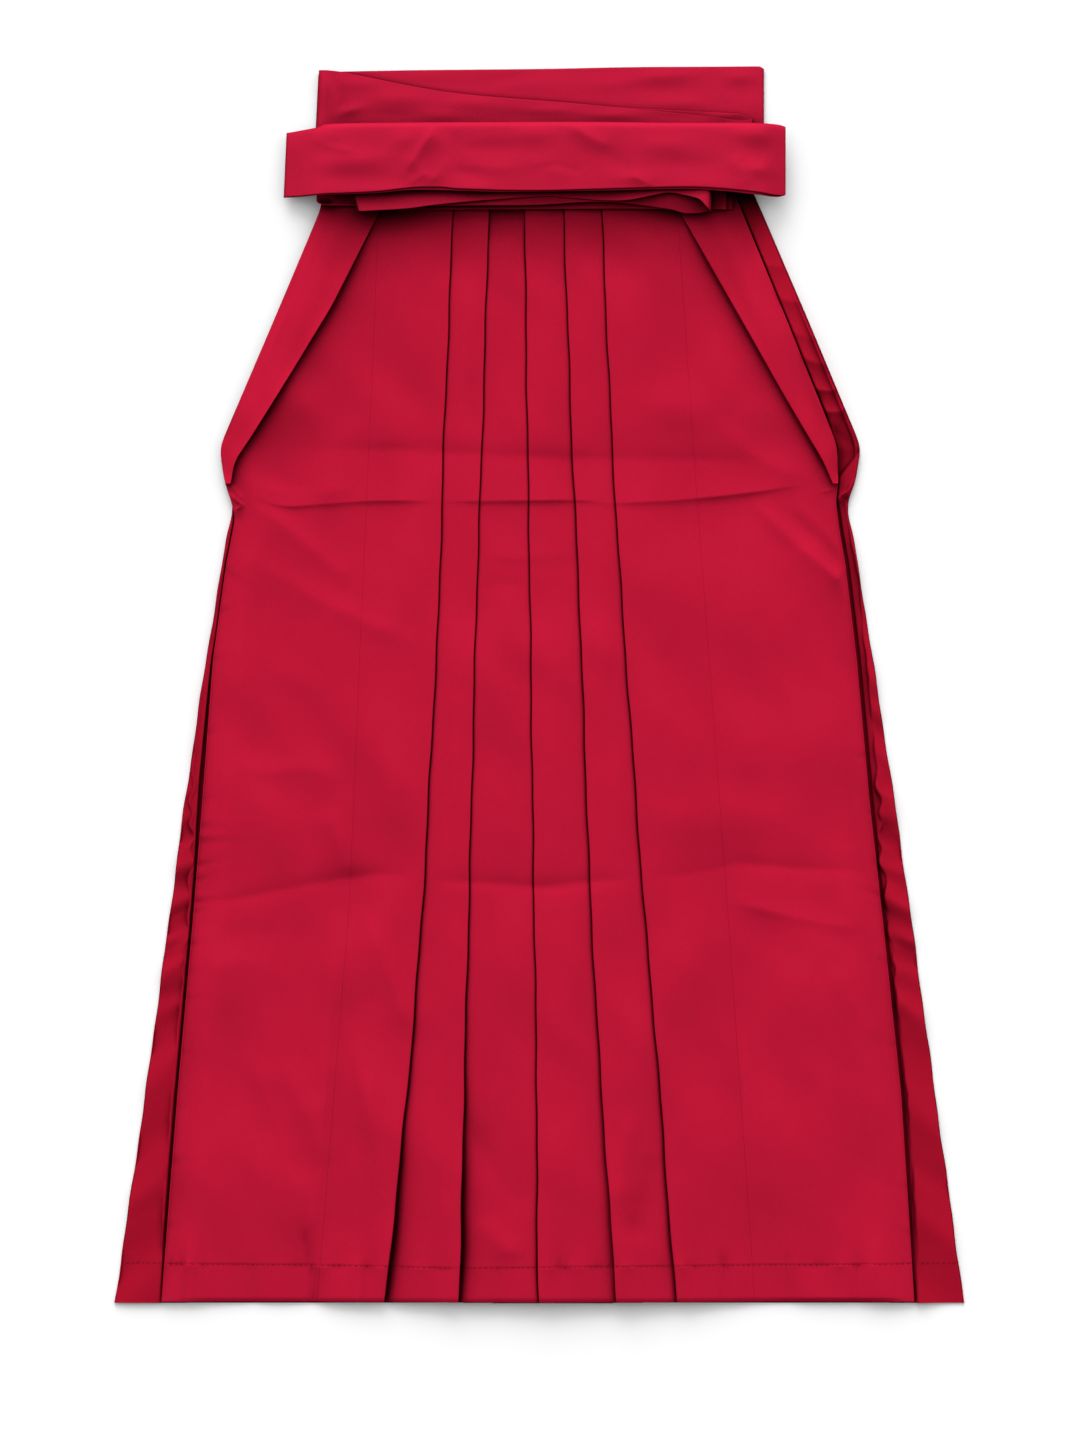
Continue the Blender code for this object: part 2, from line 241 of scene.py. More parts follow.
# How far the pleats spring up at their folds: y, first, second, middle, fourth, fifth.
OPENINGS = (
    (395.0, 0.0, 0.0, 0.0, 0.0, 0.0),
    (340.0, 0.1, 0.1, 0.1, 0.1, 0.1),
    (60.0, 0.1, 0.1, 0.1, 0.3, 0.2),
    (-180.0, 0.3, 0.2, 0.2, 0.4, 0.3),
    (-313.0, 0.7, 0.6, 0.3, 0.6, 0.4),
    (-360.0, 1.1, 1.3, 0.5, 0.9, 0.5),
    (-400.0, 2.0, 2.4, 0.8, 1.7, 0.8),
    (-470.0, 3.4, 3.1, 1.3, 3.0, 1.3),
    (-488.0, 3.2, 2.8, 1.3, 2.7, 1.3),
    (HEM, 2.4, 2.0, 1.1, 2.0, 1.0),
)

# Tables of creases and folds have the columns: height, falloff on the left and on the right
# of the line, rounding, points of the line.

# Folds across the turned edge of the left back in the side opening.
OPENING_FOLDS = (
    (1.3, 9.0, 5.0, 2.0, ((172, 352), (190, 349), (208, 346))),
    (1.7, 10.0, 5.0, 2.0, ((186, 324), (204, 320), (222, 317))),
    (1.6, 9.0, 5.0, 2.0, ((198, 296), (216, 291), (234, 288))),
    (2.2, 9.0, 4.5, 1.5, ((208, 276), (226, 269), (244, 265))),
    (2.4, 6.0, 3.0, 1.0, ((217, 251), (236, 245), (254, 246))),
    (2.8, 6.0, 3.0, 1.0, ((224, 234), (243, 227), (262, 231))),
    (-2.0, 8.0, 8.0, 2.0, ((238, 216), (252, 206), (262, 194))),
)
OPENING_CURL = (2.2, 1.2, 1.2, 0.6, ((262, 172), (256, 161), (250.5, 157.5), (248.5, 153),
                                     (249.5, 147)))


def smooth(share):
    """0 to 1 with a soft start and end."""
    share = np.clip(share, 0.0, 1.0)
    return share * share * (3 - 2 * share)


def fade(past, length):
    """1 up to an edge, and down to 0 by length past it."""
    return 1.0 - smooth(past / length)


def hump(off, width):
    """A soft round hump, 1 in the middle."""
    return np.exp(-(off / width) ** 2)


def mix(low, high, share):
    return low + (high - low) * share


def read(table, y, column, soft=10.0):
    """The table's column at heights y, rounded off where it changes direction."""
    rows = np.array(table, float)[::-1]
    first = rows[0] - (rows[1] - rows[0]) * 60.0 / (rows[1, 0] - rows[0, 0])
    last = rows[-1] + (rows[-1] - rows[-2]) * 60.0 / (rows[-1, 0] - rows[-2, 0])
    rows = np.vstack([first, rows, last])
    shifts = (-soft, -soft / 2, 0.0, soft / 2, soft)
    return sum(np.interp(y + shift, rows[:, 0], rows[:, column]) for shift in shifts) / len(shifts)


def front_edge(side, y):
    return read(EDGES, y, 1 if side == RIGHT else 2, 5.0)


def back_edge(side, y):
    wave = 0.5 * np.sin(y / 17.0 + side) + 0.4 * np.sin(y / 7.3)
    return read(EDGES, y, 3 if side == RIGHT else 4, 5.0) + 0.6 * wave * fade(y - 60, 60)


def pleat(number, y):
    wave = 0.35 * np.sin(y / 23.0 + 2.1 * number) + 0.2 * np.sin(y / 9.1 + number)
    return read(PLEATS, y, number) + wave


def width_seam(side, y):
    return read(WIDTH_SEAMS, y, 1 if side == RIGHT else 2)


def side_fold(side, y):
    return read(SIDE_FOLDS, y, 1 if side == RIGHT else 2, 6.0)


def side_slot(side, y):
    return read(SIDE_SEAMS, y, 1 if side == RIGHT else 3, 4.0)


def side_seam(side, y):
    """Distance of the puckered side seam outside the front's edge."""
    rough = fade(np.abs(y + 150) - 60, 60)
    wave = 1.1 * np.sin(y / 3.9 + 1.3 * np.sin(y / 19.0)) + 0.8 * np.sin(y / 9.7)
    below = smooth((y + 480) / 30)
    return read(SIDE_SEAMS, y, 2 if side == RIGHT else 4, 4.0) + wave * (0.3 + 1.2 * rough) * below


def edge_lift(side, x, y):
    """How far the front stands up close to its folded outer edge."""
    inside = np.abs(front_edge(side, y) - x)
    return read(EDGE_LIFTS, y, 1 if side == RIGHT else 2) * np.exp(-inside / 3.5)


def opening(number, y):
    return np.maximum(read(OPENINGS, y, number, 6.0), 0.0)


def centre_seam(y):
    return pleat(3, y) + SEAM_FROM_FOLD


def pleat_depth(side, y):
    first, second = (1, 2) if side == RIGHT else (4, 5)
    return PLEAT_SHARE * (pleat(second, y) - pleat(first, y))


def down_share(y):
    return (BACK_TOP - y) / (BACK_TOP - HEM)


def back_fold(y):
    return mix(BACK_FOLD_WAIST, BACK_FOLD_HEM, down_share(y))


def back_depth(y):
    return mix(BACK_DEPTH_WAIST, BACK_DEPTH_HEM, down_share(y))


def gusset_width(y):
    return back_fold(y) + back_depth(y) - GUSSET_INSIDE_PLEAT


def half_cloth():
    return sizes().cloth / MM / 2


def layer(number):
    """Middle of a layer, counted from 0 on the ground."""
    return number * PITCH + half_cloth()


def under_front(x, y):
    """Height that the front's lowest layer rests at."""
    seam = centre_seam(y)
    from_seam = np.abs(x - seam)
    from_edge = np.where(x < seam, np.abs(front_edge(RIGHT, y) - x), np.abs(front_edge(LEFT, y) - x))
    reach = back_fold(y) + back_depth(y) + BESIDE_PLEAT
    over_pleats = 2 * PITCH * fade(from_seam - reach, PLEAT_FADE)
    on_gussets = smooth((CROTCH + GUSSET_RISE - y) / GUSSET_RISE)
    past_gusset = from_seam - gusset_width(y) - BESIDE_GUSSET
    over_gussets = 4 * PITCH * on_gussets * fade(past_gusset, GUSSET_FADE)
    over_strip = PITCH * fade(from_edge - BACK_STRIP_UNDER - 2, STRIP_FADE)
    at_waist = WAIST_LIFT * smooth((y - WAIST_LIFT_START) / WAIST_LIFT_LENGTH)
    rises = (over_pleats, over_gussets, over_strip, at_waist)
    return PITCH + sum(rise ** 4 for rise in rises) ** 0.25


def front_height(x, y, level):
    return under_front(x, y) + half_cloth() + level * PITCH


def side_panel_height(side, x, y):
    number = 1 if side == RIGHT else 5
    past_pleat = side * (x - pleat(number, y)) - pleat_depth(side, y) - 2
    past_return = side * (front_edge(side, y) - x) - HEM_RETURN - 2
    level = 2 * fade(past_pleat, LEVEL_FADE) + fade(past_return, RETURN_FADE)
    return front_height(x, y, level)


# ---- Creases, dents and puckers of the front ---------------------------------------

CREASES = (
    # across the hips
    (-1.5, 8.0, 22.0, 1.0, ((-262, 200), (-221, 198), (-163, 196), (-119, 196), (-86, 194), (-10, 190),
                            (35, 188.5), (112, 188), (183, 185), (221, 186))),
    (1.0, 20.0, 1.3, 0.6, ((-244, 160), (-215, 149), (-183, 150), (-138, 153),
                           (-88, 152.5), (-84, 152.5))),
    (1.0, 22.0, 1.3, 0.6, ((-92, 153), (-54, 152.5), (-10, 153), (29, 153.5), (62, 151))),
    (1.2, 18.0, 1.8, 0.7, ((40, 150), (62, 151), (90, 152), (125, 154.5), (183, 161), (229, 169))),
    (0.5, 12.0, 1.5, 0.6, ((-52, 106), (-20, 104.5), (10, 105.5), (32, 106))),
    (-0.5, 6.0, 9.0, 1.5, ((-53, 84), (-25, 83), (-8, 84))),
    # across the knees
    (-1.4, 9.0, 5.0, 1.2, ((-280, -186), (-247, -177), (-215, -171), (-163, -161), (-130, -158),
                           (-100, -160))),
    (-1.5, 8.0, 5.0, 1.4, ((-100, -163), (-55, -164), (0, -168), (40, -164), (84, -161))),
    (-1.3, 9.0, 5.0, 1.6, ((80, -162), (138, -156), (164, -149), (202, -152), (282, -156))),
    (1.1, 10.0, 5.0, 2.0, ((150, -177), (189, -188), (234, -198), (273, -205))),
    # drawn from the end of the right opening
    (1.5, 7.0, 14.0, 3.0, ((-250, 146), (-227, 143), (-196, 118), (-150, 78))),
    (1.4, 9.0, 14.0, 4.0, ((-250, 118), (-240, 104), (-190, 74), (-140, 50), (-92, 28))),
    (1.2, 10.0, 10.0, 4.0, ((-255, 175), (-225, 162), (-190, 160), (-150, 164))),
    (-1.2, 8.0, 12.0, 4.0, ((-238, 186), (-205, 166), (-178, 158))),
    # drawn from the end of the left opening
    (2.3, 9.0, 6.0, 1.8, ((172, 156), (188, 142), (205, 124), (228, 104), (250, 86), (268, 64))),
    (-1.0, 5.0, 5.0, 2.0, ((196, 152), (216, 134), (240, 112), (258, 92))),
    (0.7, 4.0, 5.0, 1.5, ((206, 154), (228, 136), (246, 118), (258, 104))),
    (1.4, 9.0, 12.0, 4.0, ((232, 172), (205, 178), (170, 196), (150, 222))),
    # soft folds lower down
    (1.7, 8.0, 12.0, 3.0, ((-181, -96), (-168, -128), (-154, -165))),
    (1.7, 9.0, 12.0, 3.0, ((-153, -176), (-136, -215), (-118, -262), (-106, -302))),
    (1.5, 12.0, 9.0, 3.5, ((-250, -290), (-225, -350), (-200, -420), (-184, -474))),
    (1.4, 8.0, 10.0, 3.0, ((-172, -218), (-176, -300), (-182, -380), (-188, -470))),
    (1.4, 9.0, 10.0, 3.5, ((-166, -268), (-148, -330), (-134, -400), (-132, -455))),
    (1.2, 10.0, 10.0, 4.0, ((-232, -262), (-205, -330), (-175, -400), (-160, -452))),
    (-1.5, 9.0, 9.0, 3.5, ((-64, -352), (-48, -385), (-30, -415), (-10, -445))),
    (1.2, 8.0, 10.0, 3.0, ((-52, -440), (-36, -462), (-12, -478))),
    (-1.7, 8.0, 8.0, 3.0, ((96, -385), (88, -420), (74, -468))),
    (1.2, 8.0, 8.0, 3.0, ((78, -350), (70, -400), (66, -440))),
    (1.0, 8.0, 9.0, 3.0, ((160, -250), (168, -340), (172, -430), (177, -480))),
    (0.8, 9.0, 9.0, 4.0, ((240, -230), (262, -270), (284, -300))),
    (1.2, 10.0, 8.0, 4.0, ((-262, -60), (-230, -72), (-190, -70), (-160, -84))),
    (0.3, 9.0, 12.0, 4.0, ((-268, -10), (-236, 8), (-200, 6), (-170, -14))),
    (-0.8, 9.0, 9.0, 4.0, ((-272, -214), (-240, -206), (-214, -214))),
    (0.5, 8.0, 10.0, 4.0, ((-286, -246), (-256, -232), (-226, -236), (-200, -252))),
)

# Short pulls at the front's folded outer edges: y, depth, reach inward, slant.
RIGHT_PULLS = (
    (-96, 0.7, 7, 0.1), (-118, 0.9, 12, -0.1), (-131, 1.1, 16, 0.05), (-150, 0.9, 9, 0.15),
    (-163, 0.7, 8, 0.3), (-181, 1.0, 14, 0.1), (-190, 0.6, 6, 0.2), (-216, 0.7, 9, 0.1),
    (-240, 0.5, 6, 0.2), (-262, 0.6, 8, 0.1), (-306, 0.6, 9, -0.1), (-352, 0.5, 6, 0.1),
    (-397, 0.8, 9, 0.05), (-452, 0.5, 8, 0.4), (60, 0.6, 10, 0.4), (95, 0.7, 14, -0.6),
    (20, 0.5, 8, 0.2), (-40, 0.5, 8, 0.1),
)
LEFT_PULLS = (
    (-60, 0.4, 12, 0.2), (-108, 0.5, 14, 0.5), (-150, 0.5, 16, 0.3), (-176, 0.6, 12, 0.4),
    (-232, 0.5, 12, 0.5), (-300, 0.4, 12, 0.3), (30, 0.35, 16, -0.6), (92, 0.3, 18, -0.8),
    (-420, 0.4, 10, 0.4), (-458, 0.4, 9, 0.5),
)

SMALL_FOLDS = (
    # at the ends of the side openings
    (1.5, 1.3, 1.3, 0.5, ((-260, 160), (-252, 153), (-248.5, 149.5), (-252, 146), (-257, 143))),
    (1.0, 1.2, 2.0, 0.5, ((-258, 168), (-252, 160), (-246, 152))),
    (-1.3, 1.6, 1.6, 0.8, ((-256, 139), (-251.5, 138), (-247, 136))),
    (0.9, 2.0, 1.2, 0.5, ((250, 170), (243, 163), (232, 160))),
    # upright pulls in the hem
    (-2.2, 4.0, 2.4, 1.0, ((-198, -446), (-194, -466), (-191, -484), (-189, -500), (-190, -530))),
    (-0.9, 2.2, 3.6, 1.0, ((-296, -462), (-296, -486), (-297, -530))),
    (-0.8, 3.0, 3.0, 1.0, ((-241, -470), (-240, -492), (-238, -530))),
    (0.9, 3.0, 2.4, 1.0, ((-150, -468), (-149, -490), (-152, -530))),
    (-0.9, 3.0, 3.0, 1.0, ((-30, -470), (-33, -490), (-34, -530))),
    (-0.9, 2.6, 3.0, 1.0, ((150, -466), (153, -486), (152, -530))),
    (-1.0, 3.0, 2.4, 1.0, ((206, -466), (207, -488), (210, -530))),
    (-0.8, 2.4, 2.4, 1.0, ((262, -470), (264, -490), (262, -530))),
)

# Soft hills and hollows have the columns: centre x, centre y, half width, half length, turn
# in degrees, height.
DENTS = (
    (-190, 300, 40, 60, 20, 0.7), (-120, 330, 30, 70, 0, 0.5), (-110, 250, 22, 40, 30, -0.5),
    (-205, 235, 34, 22, 10, 0.6), (-60, 300, 14, 60, 0, 0.3), (-28, 360, 14, 34, 0, 0.3),
    (8, 270, 14, 50, 0, 0.3), (42, 330, 14, 50, 0, 0.3), (90, 330, 34, 60, -20, 0.7),
    (150, 260, 34, 50, -30, 0.7), (110, 230, 30, 20, 0, 0.5), (185, 225, 22, 20, 0, 0.4),
    (-180, 20, 60, 34, 0, 0.25), (-130, -40, 34, 60, 20, 0.6), (-225, -110, 34, 40, 0, 0.8),
    (-110, 90, 22, 44, 0, 0.5), (-118, -96, 26, 34, 0, 0.5), (-70, -40, 14, 70, 0, 0.3),
    (-28, 60, 20, 60, 0, 0.3), (-30, -60, 18, 30, 25, -0.4), (-25, -240, 20, 50, 0, 0.4),
    (16, -20, 16, 60, 0, 0.3), (20, -270, 18, 60, 0, 0.4), (55, 60, 14, 70, 0, 0.3),
    (66, -90, 16, 50, 0, 0.3), (110, 90, 30, 40, 0, 0.6), (170, 60, 44, 50, 0, 0.6),
    (120, -30, 34, 60, 0, 0.5), (200, -50, 50, 40, 0, 0.6), (240, 20, 26, 50, 0, -0.5),
    (150, -110, 60, 22, 0, 0.5), (245, -110, 26, 40, 0, -0.6), (120, -230, 26, 50, 0, 0.6),
    (220, -260, 46, 50, 0, 0.6), (200, -380, 60, 60, 0, 0.7), (130, -420, 22, 50, 0, 0.5),
    (265, -420, 24, 60, 0, -0.5), (-260, -250, 30, 40, 0, 0.7), (-225, -420, 40, 50, 20, 0.6),
    (-265, -400, 26, 60, 0, 0.5), (-130, -350, 20, 60, 15, 0.6), (-150, -230, 30, 30, 0, 0.5),
    (20, -400, 24, 50, 0, 0.5), (84, -300, 16, 50, 0, 0.4), (-90, -380, 14, 50, 0, 0.4),
)


def rounded(points, steps=5):
    """A polyline through the points with its corners rounded."""
    points = [np.array(point, float) for point in points]
    points = [2 * points[0] - points[1], *points, 2 * points[-1] - points[-2]]
    line = []
    for a, b, c, d in zip(points, points[1:], points[2:], points[3:]):
        for i in range(steps):
            t = i / steps
            line.append(0.5 * (2 * b + (c - a) * t + (2 * a - 5 * b + 4 * c - d) * t ** 2
                               + (3 * b - a - 3 * c + d) * t ** 3))
    return [*line, points[-2]]


def crease(x, y, height, left, right, rounding, points):
    """Height of one crease, which tapers off at both ends."""
    line = rounded(points)
    lengths = [float(np.hypot(*(b - a))) for a, b in itertools.pairwise(line)]
    total = sum(lengths)
    far = 5 * max(left, right)
    near = (x > min(p[0] for p in line) - far) & (x < max(p[0] for p in line) + far)
    near &= (y > min(p[1] for p in line) - far) & (y < max(p[1] for p in line) + far)
    result = np.zeros(x.shape)
    if not near.any():
        return result
    px, py = x[near], y[near]
    best = np.full(px.shape, 1e9)
    side, along = np.zeros(px.shape), np.zeros(px.shape)
    start = 0.0
    for (a, b), length in zip(itertools.pairwise(line), lengths):
        direction = (b - a) / length
        t = np.clip((px - a[0]) * direction[0] + (py - a[1]) * direction[1], 0, length)
        dx, dy = px - a[0] - t * direction[0], py - a[1] - t * direction[1]
        distance = np.hypot(dx, dy)
        closer = distance < best
        best = np.where(closer, distance, best)
        side = np.where(closer, np.sign(direction[0] * dy - direction[1] * dx), side)
        along = np.where(closer, start + t, along)
        start += length
    width = np.where(side > 0, left, right)
    profile = np.exp(-(np.sqrt(best ** 2 + rounding ** 2) - rounding) / width)
    taper = smooth(along / (0.3 * total)) * smooth((total - along) / (0.25 * total))
    uneven = 1 + 0.22 * np.sin(along / 19.0 + total) + 0.05 * np.sin(along / 5.1)
    result[near] = height * taper * uneven * profile
    return result


def hills(x, y, table):
    """Soft round hills and hollows: centre, half width, half length, turn in degrees, height."""
    total = 0.0
    for cx, cy, wide, long, turn, height in table:
        angle = math.radians(turn)
        u = ((x - cx) * math.cos(angle) + (y - cy) * math.sin(angle)) / wide
        v = ((y - cy) * math.cos(angle) - (x - cx) * math.sin(angle)) / long
        total = total + height * np.exp(-(u * u + v * v))
    return total


def dents(x, y):
    waves = np.sin(x / 23 + 1.7 * np.sin(y / 61)) * np.sin(y / 37 + np.sin(x / 47))
    fine = np.sin(x / 9.3 + y / 31 + np.sin(y / 17)) * np.sin(y / 13.7 - x / 40)
    slanting = np.sin((0.9 * x + 0.4 * y) / 8.5 + 1.6 * np.sin((y - 0.4 * x) / 53))
    slanting = slanting * smooth(0.5 + 0.5 * np.sin((x + 1.3 * y) / 71 + np.sin(y / 43)))
    return hills(x, y, DENTS) + 0.16 * waves + 0.035 * fine + 0.09 * slanting


def hem_line(x):
    """Height of the hem's stitches across the garment."""
    depth = sizes().hem / MM
    return HEM + depth + 2.0 * (np.abs(x) / 330) ** 2 - 1.6 * hump(x + 60, 70)


def hem_relief(x, y):
    """The doubled hem, its stitched groove and its small puckers."""
    from_line = y - hem_line(x)
    doubled = 0.12 * smooth((from_line - 0.1) / 0.9) * np.exp(-np.clip(from_line - 1, 0, None) / 7.0)
    groove = -0.07 * hump(from_line + 0.2, 0.8)
    phase = x / 2.1 + 2.2 * np.sin(x / 17) + 1.4 * np.sin(x / 7.9)
    size = 0.5 + 0.5 * np.sin(x / 31 + 1.3 * np.sin(x / 11))
    pucker = 0.3 * size * np.sin(phase) * hump(from_line - 1, 4.0)
    long_phase = x / 5.3 + 1.9 * np.sin(x / 23)
    drawn = 1.2 * np.sin(long_phase) * np.exp(-np.abs(from_line + 2) / 10.0) * size
    return doubled + groove + pucker + drawn


def edge_puckers(x, y):
    """Short pulls that run in from the front's folded outer edges."""
    total = np.zeros(x.shape)
    for side, pulls in ((RIGHT, RIGHT_PULLS), (LEFT, LEFT_PULLS)):
        inside = side * (front_edge(side, y) - x)
        for where, depth, reach, turn in pulls:
            off = y - where - turn * inside
            fold = np.exp(-np.abs(off) / 1.6) - 0.55 * hump(off - 5, 4.0)
            total -= depth * fold * np.exp(-np.clip(inside - 1, 0, None) / reach)
    return total


def width_seam_relief(x, y):
    """The pressed seam that joins two widths: a faint step with a flat allowance."""
    total = np.zeros(x.shape)
    for side in (RIGHT, LEFT):
        outward = side * (x - width_seam(side, y))
        total += 0.16 * hump(outward, 1.6)
        total += 0.18 * smooth(outward / 1.5) * fade(outward - 11, 3)
    return total


def waist_rise(y):
    """The fronts climb towards the bundle of ties that is pulled up over them."""
    return WAIST_RISE * np.clip((y - WAIST_RISE_START) / (BAND_LOW - WAIST_RISE_START), 0.0, 1.0) ** 2


def relief(x, y):
    """What the creases, dents and sewing add to every layer of the fronts."""
    from_left = front_edge(LEFT, y) - x
    inside = np.minimum(x - front_edge(RIGHT, y), from_left)
    off_hem = smooth((y - HEM + 2) / 7)
    room = smooth(inside / 40) * off_hem
    pillow = PILLOW * smooth(from_left / 38) * fade(from_left - 50, 90) * off_hem * fade(y - 90, 60)
    creased = CREASE_STRENGTH * sum(crease(x, y, *entry) for entry in CREASES)
    small = sum(crease(x, y, *entry) for entry in SMALL_FOLDS)
    strength = sizes().creases
    held = smooth(inside / 9) * smooth((392 - y) / 24)
    handled = creased * smooth((y - HEM) / 45) + DENT_STRENGTH * dents(x, y)
    raised = ROOM * room + pillow + strength * handled * held
    sewn = (hem_relief(x, y) + edge_puckers(x, y) + small) * smooth((inside + 6) / 6)
    seams = width_seam_relief(x, y) * smooth((40 - y) / 60)
    total = raised + sewn + seams + waist_rise(y)
    return np.maximum(total, -0.35 + 0.25 * np.tanh(total + 0.35))


# ---- Sections ----------------------------------------------------------------------

TURN = 0.5                 # how round a pressed fold is
PAST_FOLD = 1.2            # from a folded edge to where the cloth lies flat again
SPRING = 26.0              # how far from its fold a pleat springs up
STEPS_BY_FOLD = (0.0, 0.35, 0.7, 1.15, 1.8, 2.8)          # columns close to a fold
PLEAT_SINK = {1: 1.4, 2: 1.8, 3: 0.1, 4: 0.1, 5: 1.2}      # beside each open pleat


def turned(edge, from_z, to_z, lies, steps=6):
    """Columns round a folded edge. lies is +1 where the cloth lies on its +X side."""
    bend = np.abs(to_z - from_z) / 2
    across = np.minimum(bend, TURN)
    centre = edge + lies * (half_cloth() + across)
    middle, sign = (from_z + to_z) / 2, np.sign(to_z - from_z)
    columns = []
    for i in range(steps + 1):
        angle = math.pi * (i / steps - 0.5)
        x = centre - lies * across * math.cos(angle)
        columns.append((x, middle + sign * bend * math.sin(angle)))
    return columns


def beside_fold(folded, lies):
    return folded + lies * (half_cloth() + TURN)


def sprung(x, folded, rise):
    """How far both layers of a pleat stand up near its folded edge."""
    return rise * fade(np.abs(x - folded), SPRING)


def spread(start, end, count, ends=(True, True)):
    """count places from start to end, with or without the ends."""
    total = count + (not ends[0]) + (not ends[1])
    shares = [i / (total - 1) for i in range(total)]
    shares = shares[0 if ends[0] else 1: total if ends[1] else total - 1]
    return [mix(start, end, share) for share in shares]


def side_panel(side, x, y):
    number = 1 if side == RIGHT else 5
    raised = sprung(x, pleat(number, y), opening(number, y))
    return side_panel_height(side, x, y) + raised + edge_lift(side, x, y)


def front_side_section(side, y):
    """From the turned-in edge, round the folded side and across to the width seam."""
    edge = front_edge(side, y)
    inside = edge - side * HEM_RETURN
    base = front_height(edge, y, 0) + edge_lift(side, edge, y)
    columns = [(x, front_height(x, y, 0) + edge_lift(side, x, y))
               for x in spread(inside, edge - side * PAST_FOLD, 6)]
    columns += turned(edge, base, base + PITCH, -side)
    near = spread(edge - side * PAST_FOLD, edge - side * 18, 13)
    seam = width_seam(side, y) + side * SEAM / 2
    for x in near + spread(near[-1], seam, 32, (False, True)):
        columns.append((x, side_panel(side, x, y)))
    return columns


def knife_pleat(folded, depth, y, lies, rise, steps=4):
    """Columns from the pleat's face, round its folded edge and back along the underlay."""
    hidden = folded + lies * depth
    outer, inner = front_height(folded, y, 0), front_height(hidden, y, 0)
    face = turned(folded, outer + 2 * PITCH + rise, outer + PITCH + rise, lies)
    start = beside_fold(folded, lies)
    between = [(x, mix(outer, inner, np.abs(x - folded) / depth) + PITCH + sprung(x, folded, rise))
               for x in spread(start, hidden - lies * PAST_FOLD, steps, (False, True))]
    under = turned(hidden, inner + PITCH + sprung(hidden, folded, rise), inner, -lies, 4)
    back = [(x, mix(inner, outer, np.abs(x - hidden) / depth))
            for x in spread(hidden - lies * PAST_FOLD, folded + lies * 0.5, steps)]
    return face + between + under + back


def climbing(number, past, width, y):
    """0 to 1 for a strip that swells up close beside one pleat and climbs over the next."""
    close = 0.4 + 2.0 * opening(number, y)
    snug = 0.8 if number == 1 else 0.55
    return snug * (1 - np.exp(-past / close)) + (1 - snug) * smooth(past / (0.8 * width))


def near_fold(start, end, count):
    """Columns from a fold at start to end, close together beside the fold."""
    way = np.sign(end - start)
    return [start + way * step for step in STEPS_BY_FOLD] + spread(start + way * 4.2, end, count)


def sink(number, past, y):
    """How far the cloth beside an open pleat sinks onto what lies under it."""
    amount = 0.05 + PLEAT_SINK[number] * smooth(opening(number, y) / 4)
    return amount * hump(past, 2.5 + 0.6 * opening(number, y))


def front_right_section(y):
    """From the width seam across the first and second pleats to the centre seam."""
    first, second, middle = pleat(1, y), pleat(2, y), pleat(3, y)
    depth = pleat_depth(RIGHT, y)
    seam = width_seam(RIGHT, y) + SEAM / 2
    columns = [(x, side_panel(RIGHT, x, y))
               for x in spread(seam, beside_fold(first, RIGHT), 24, (True, False))]
    columns += knife_pleat(first, depth, y, RIGHT, opening(1, y))
    end = beside_fold(second, RIGHT)
    for x in near_fold(first, end, 14)[:-1]:
        past = np.abs(x - first)
        height = front_height(x, y, 2 * climbing(1, past, np.abs(second - first), y))
        columns.append((x, height - sink(1, past, y) + sprung(x, second, opening(2, y))))
    columns += knife_pleat(second, depth, y, RIGHT, opening(2, y))
    low_strip = near_fold(second, (second + middle) / 2, 6)
    low_strip += reversed(near_fold(middle, (second + middle) / 2, 6)[:-1])
    for x in low_strip + spread(middle + 0.4, centre_seam(y) - SEAM / 2, 5):
        past, ahead = x - second, np.clip(middle - x, 0, None)
        full = mix(1.8, 2.2, smooth((y + 330) / 120))
        swell = full * (1 - np.exp(-past / (0.4 + 2.2 * opening(2, y)))) * (1 - np.exp(-ahead / 0.8))
        swell = swell * smooth((388 - y) / 30)
        columns.append((x, front_height(x, y, 0) + swell - sink(2, past, y) - sink(3, ahead, y)))
    return columns


def front_left_section(y):
    """From the centre seam, under the middle pleat, across the fourth and fifth to the width seam."""
    middle, seam = pleat(3, y), centre_seam(y)
    depth, rise = pleat_depth(LEFT, y), opening(3, y)
    fold_z = front_height(middle, y, 1) + rise
    columns = [(x, front_height(x, y, 1) + sprung(x, middle, rise))
               for x in spread(seam, middle + 1.5, 4)]
    columns += turned(middle, fold_z, fold_z + PITCH, LEFT)
    last = middle
    for number in (4, 5):
        here = pleat(number, y)
        for x in reversed(near_fold(here, beside_fold(last, LEFT), 14)[:-1]):
            ahead = np.abs(here - x)
            height = front_height(x, y, 2 * climbing(number, ahead, np.abs(here - last), y))
            columns.append((x, height - sink(number, ahead, y) + sprung(x, last, rise)))
        rise, last = opening(number, y), here
        columns += reversed(knife_pleat(here, depth, y, LEFT, rise))
    outer = width_seam(LEFT, y) - SEAM / 2
    columns += [(x, side_panel(LEFT, x, y))
                for x in spread(beside_fold(last, LEFT), outer, 24, (False, True))]
    return columns


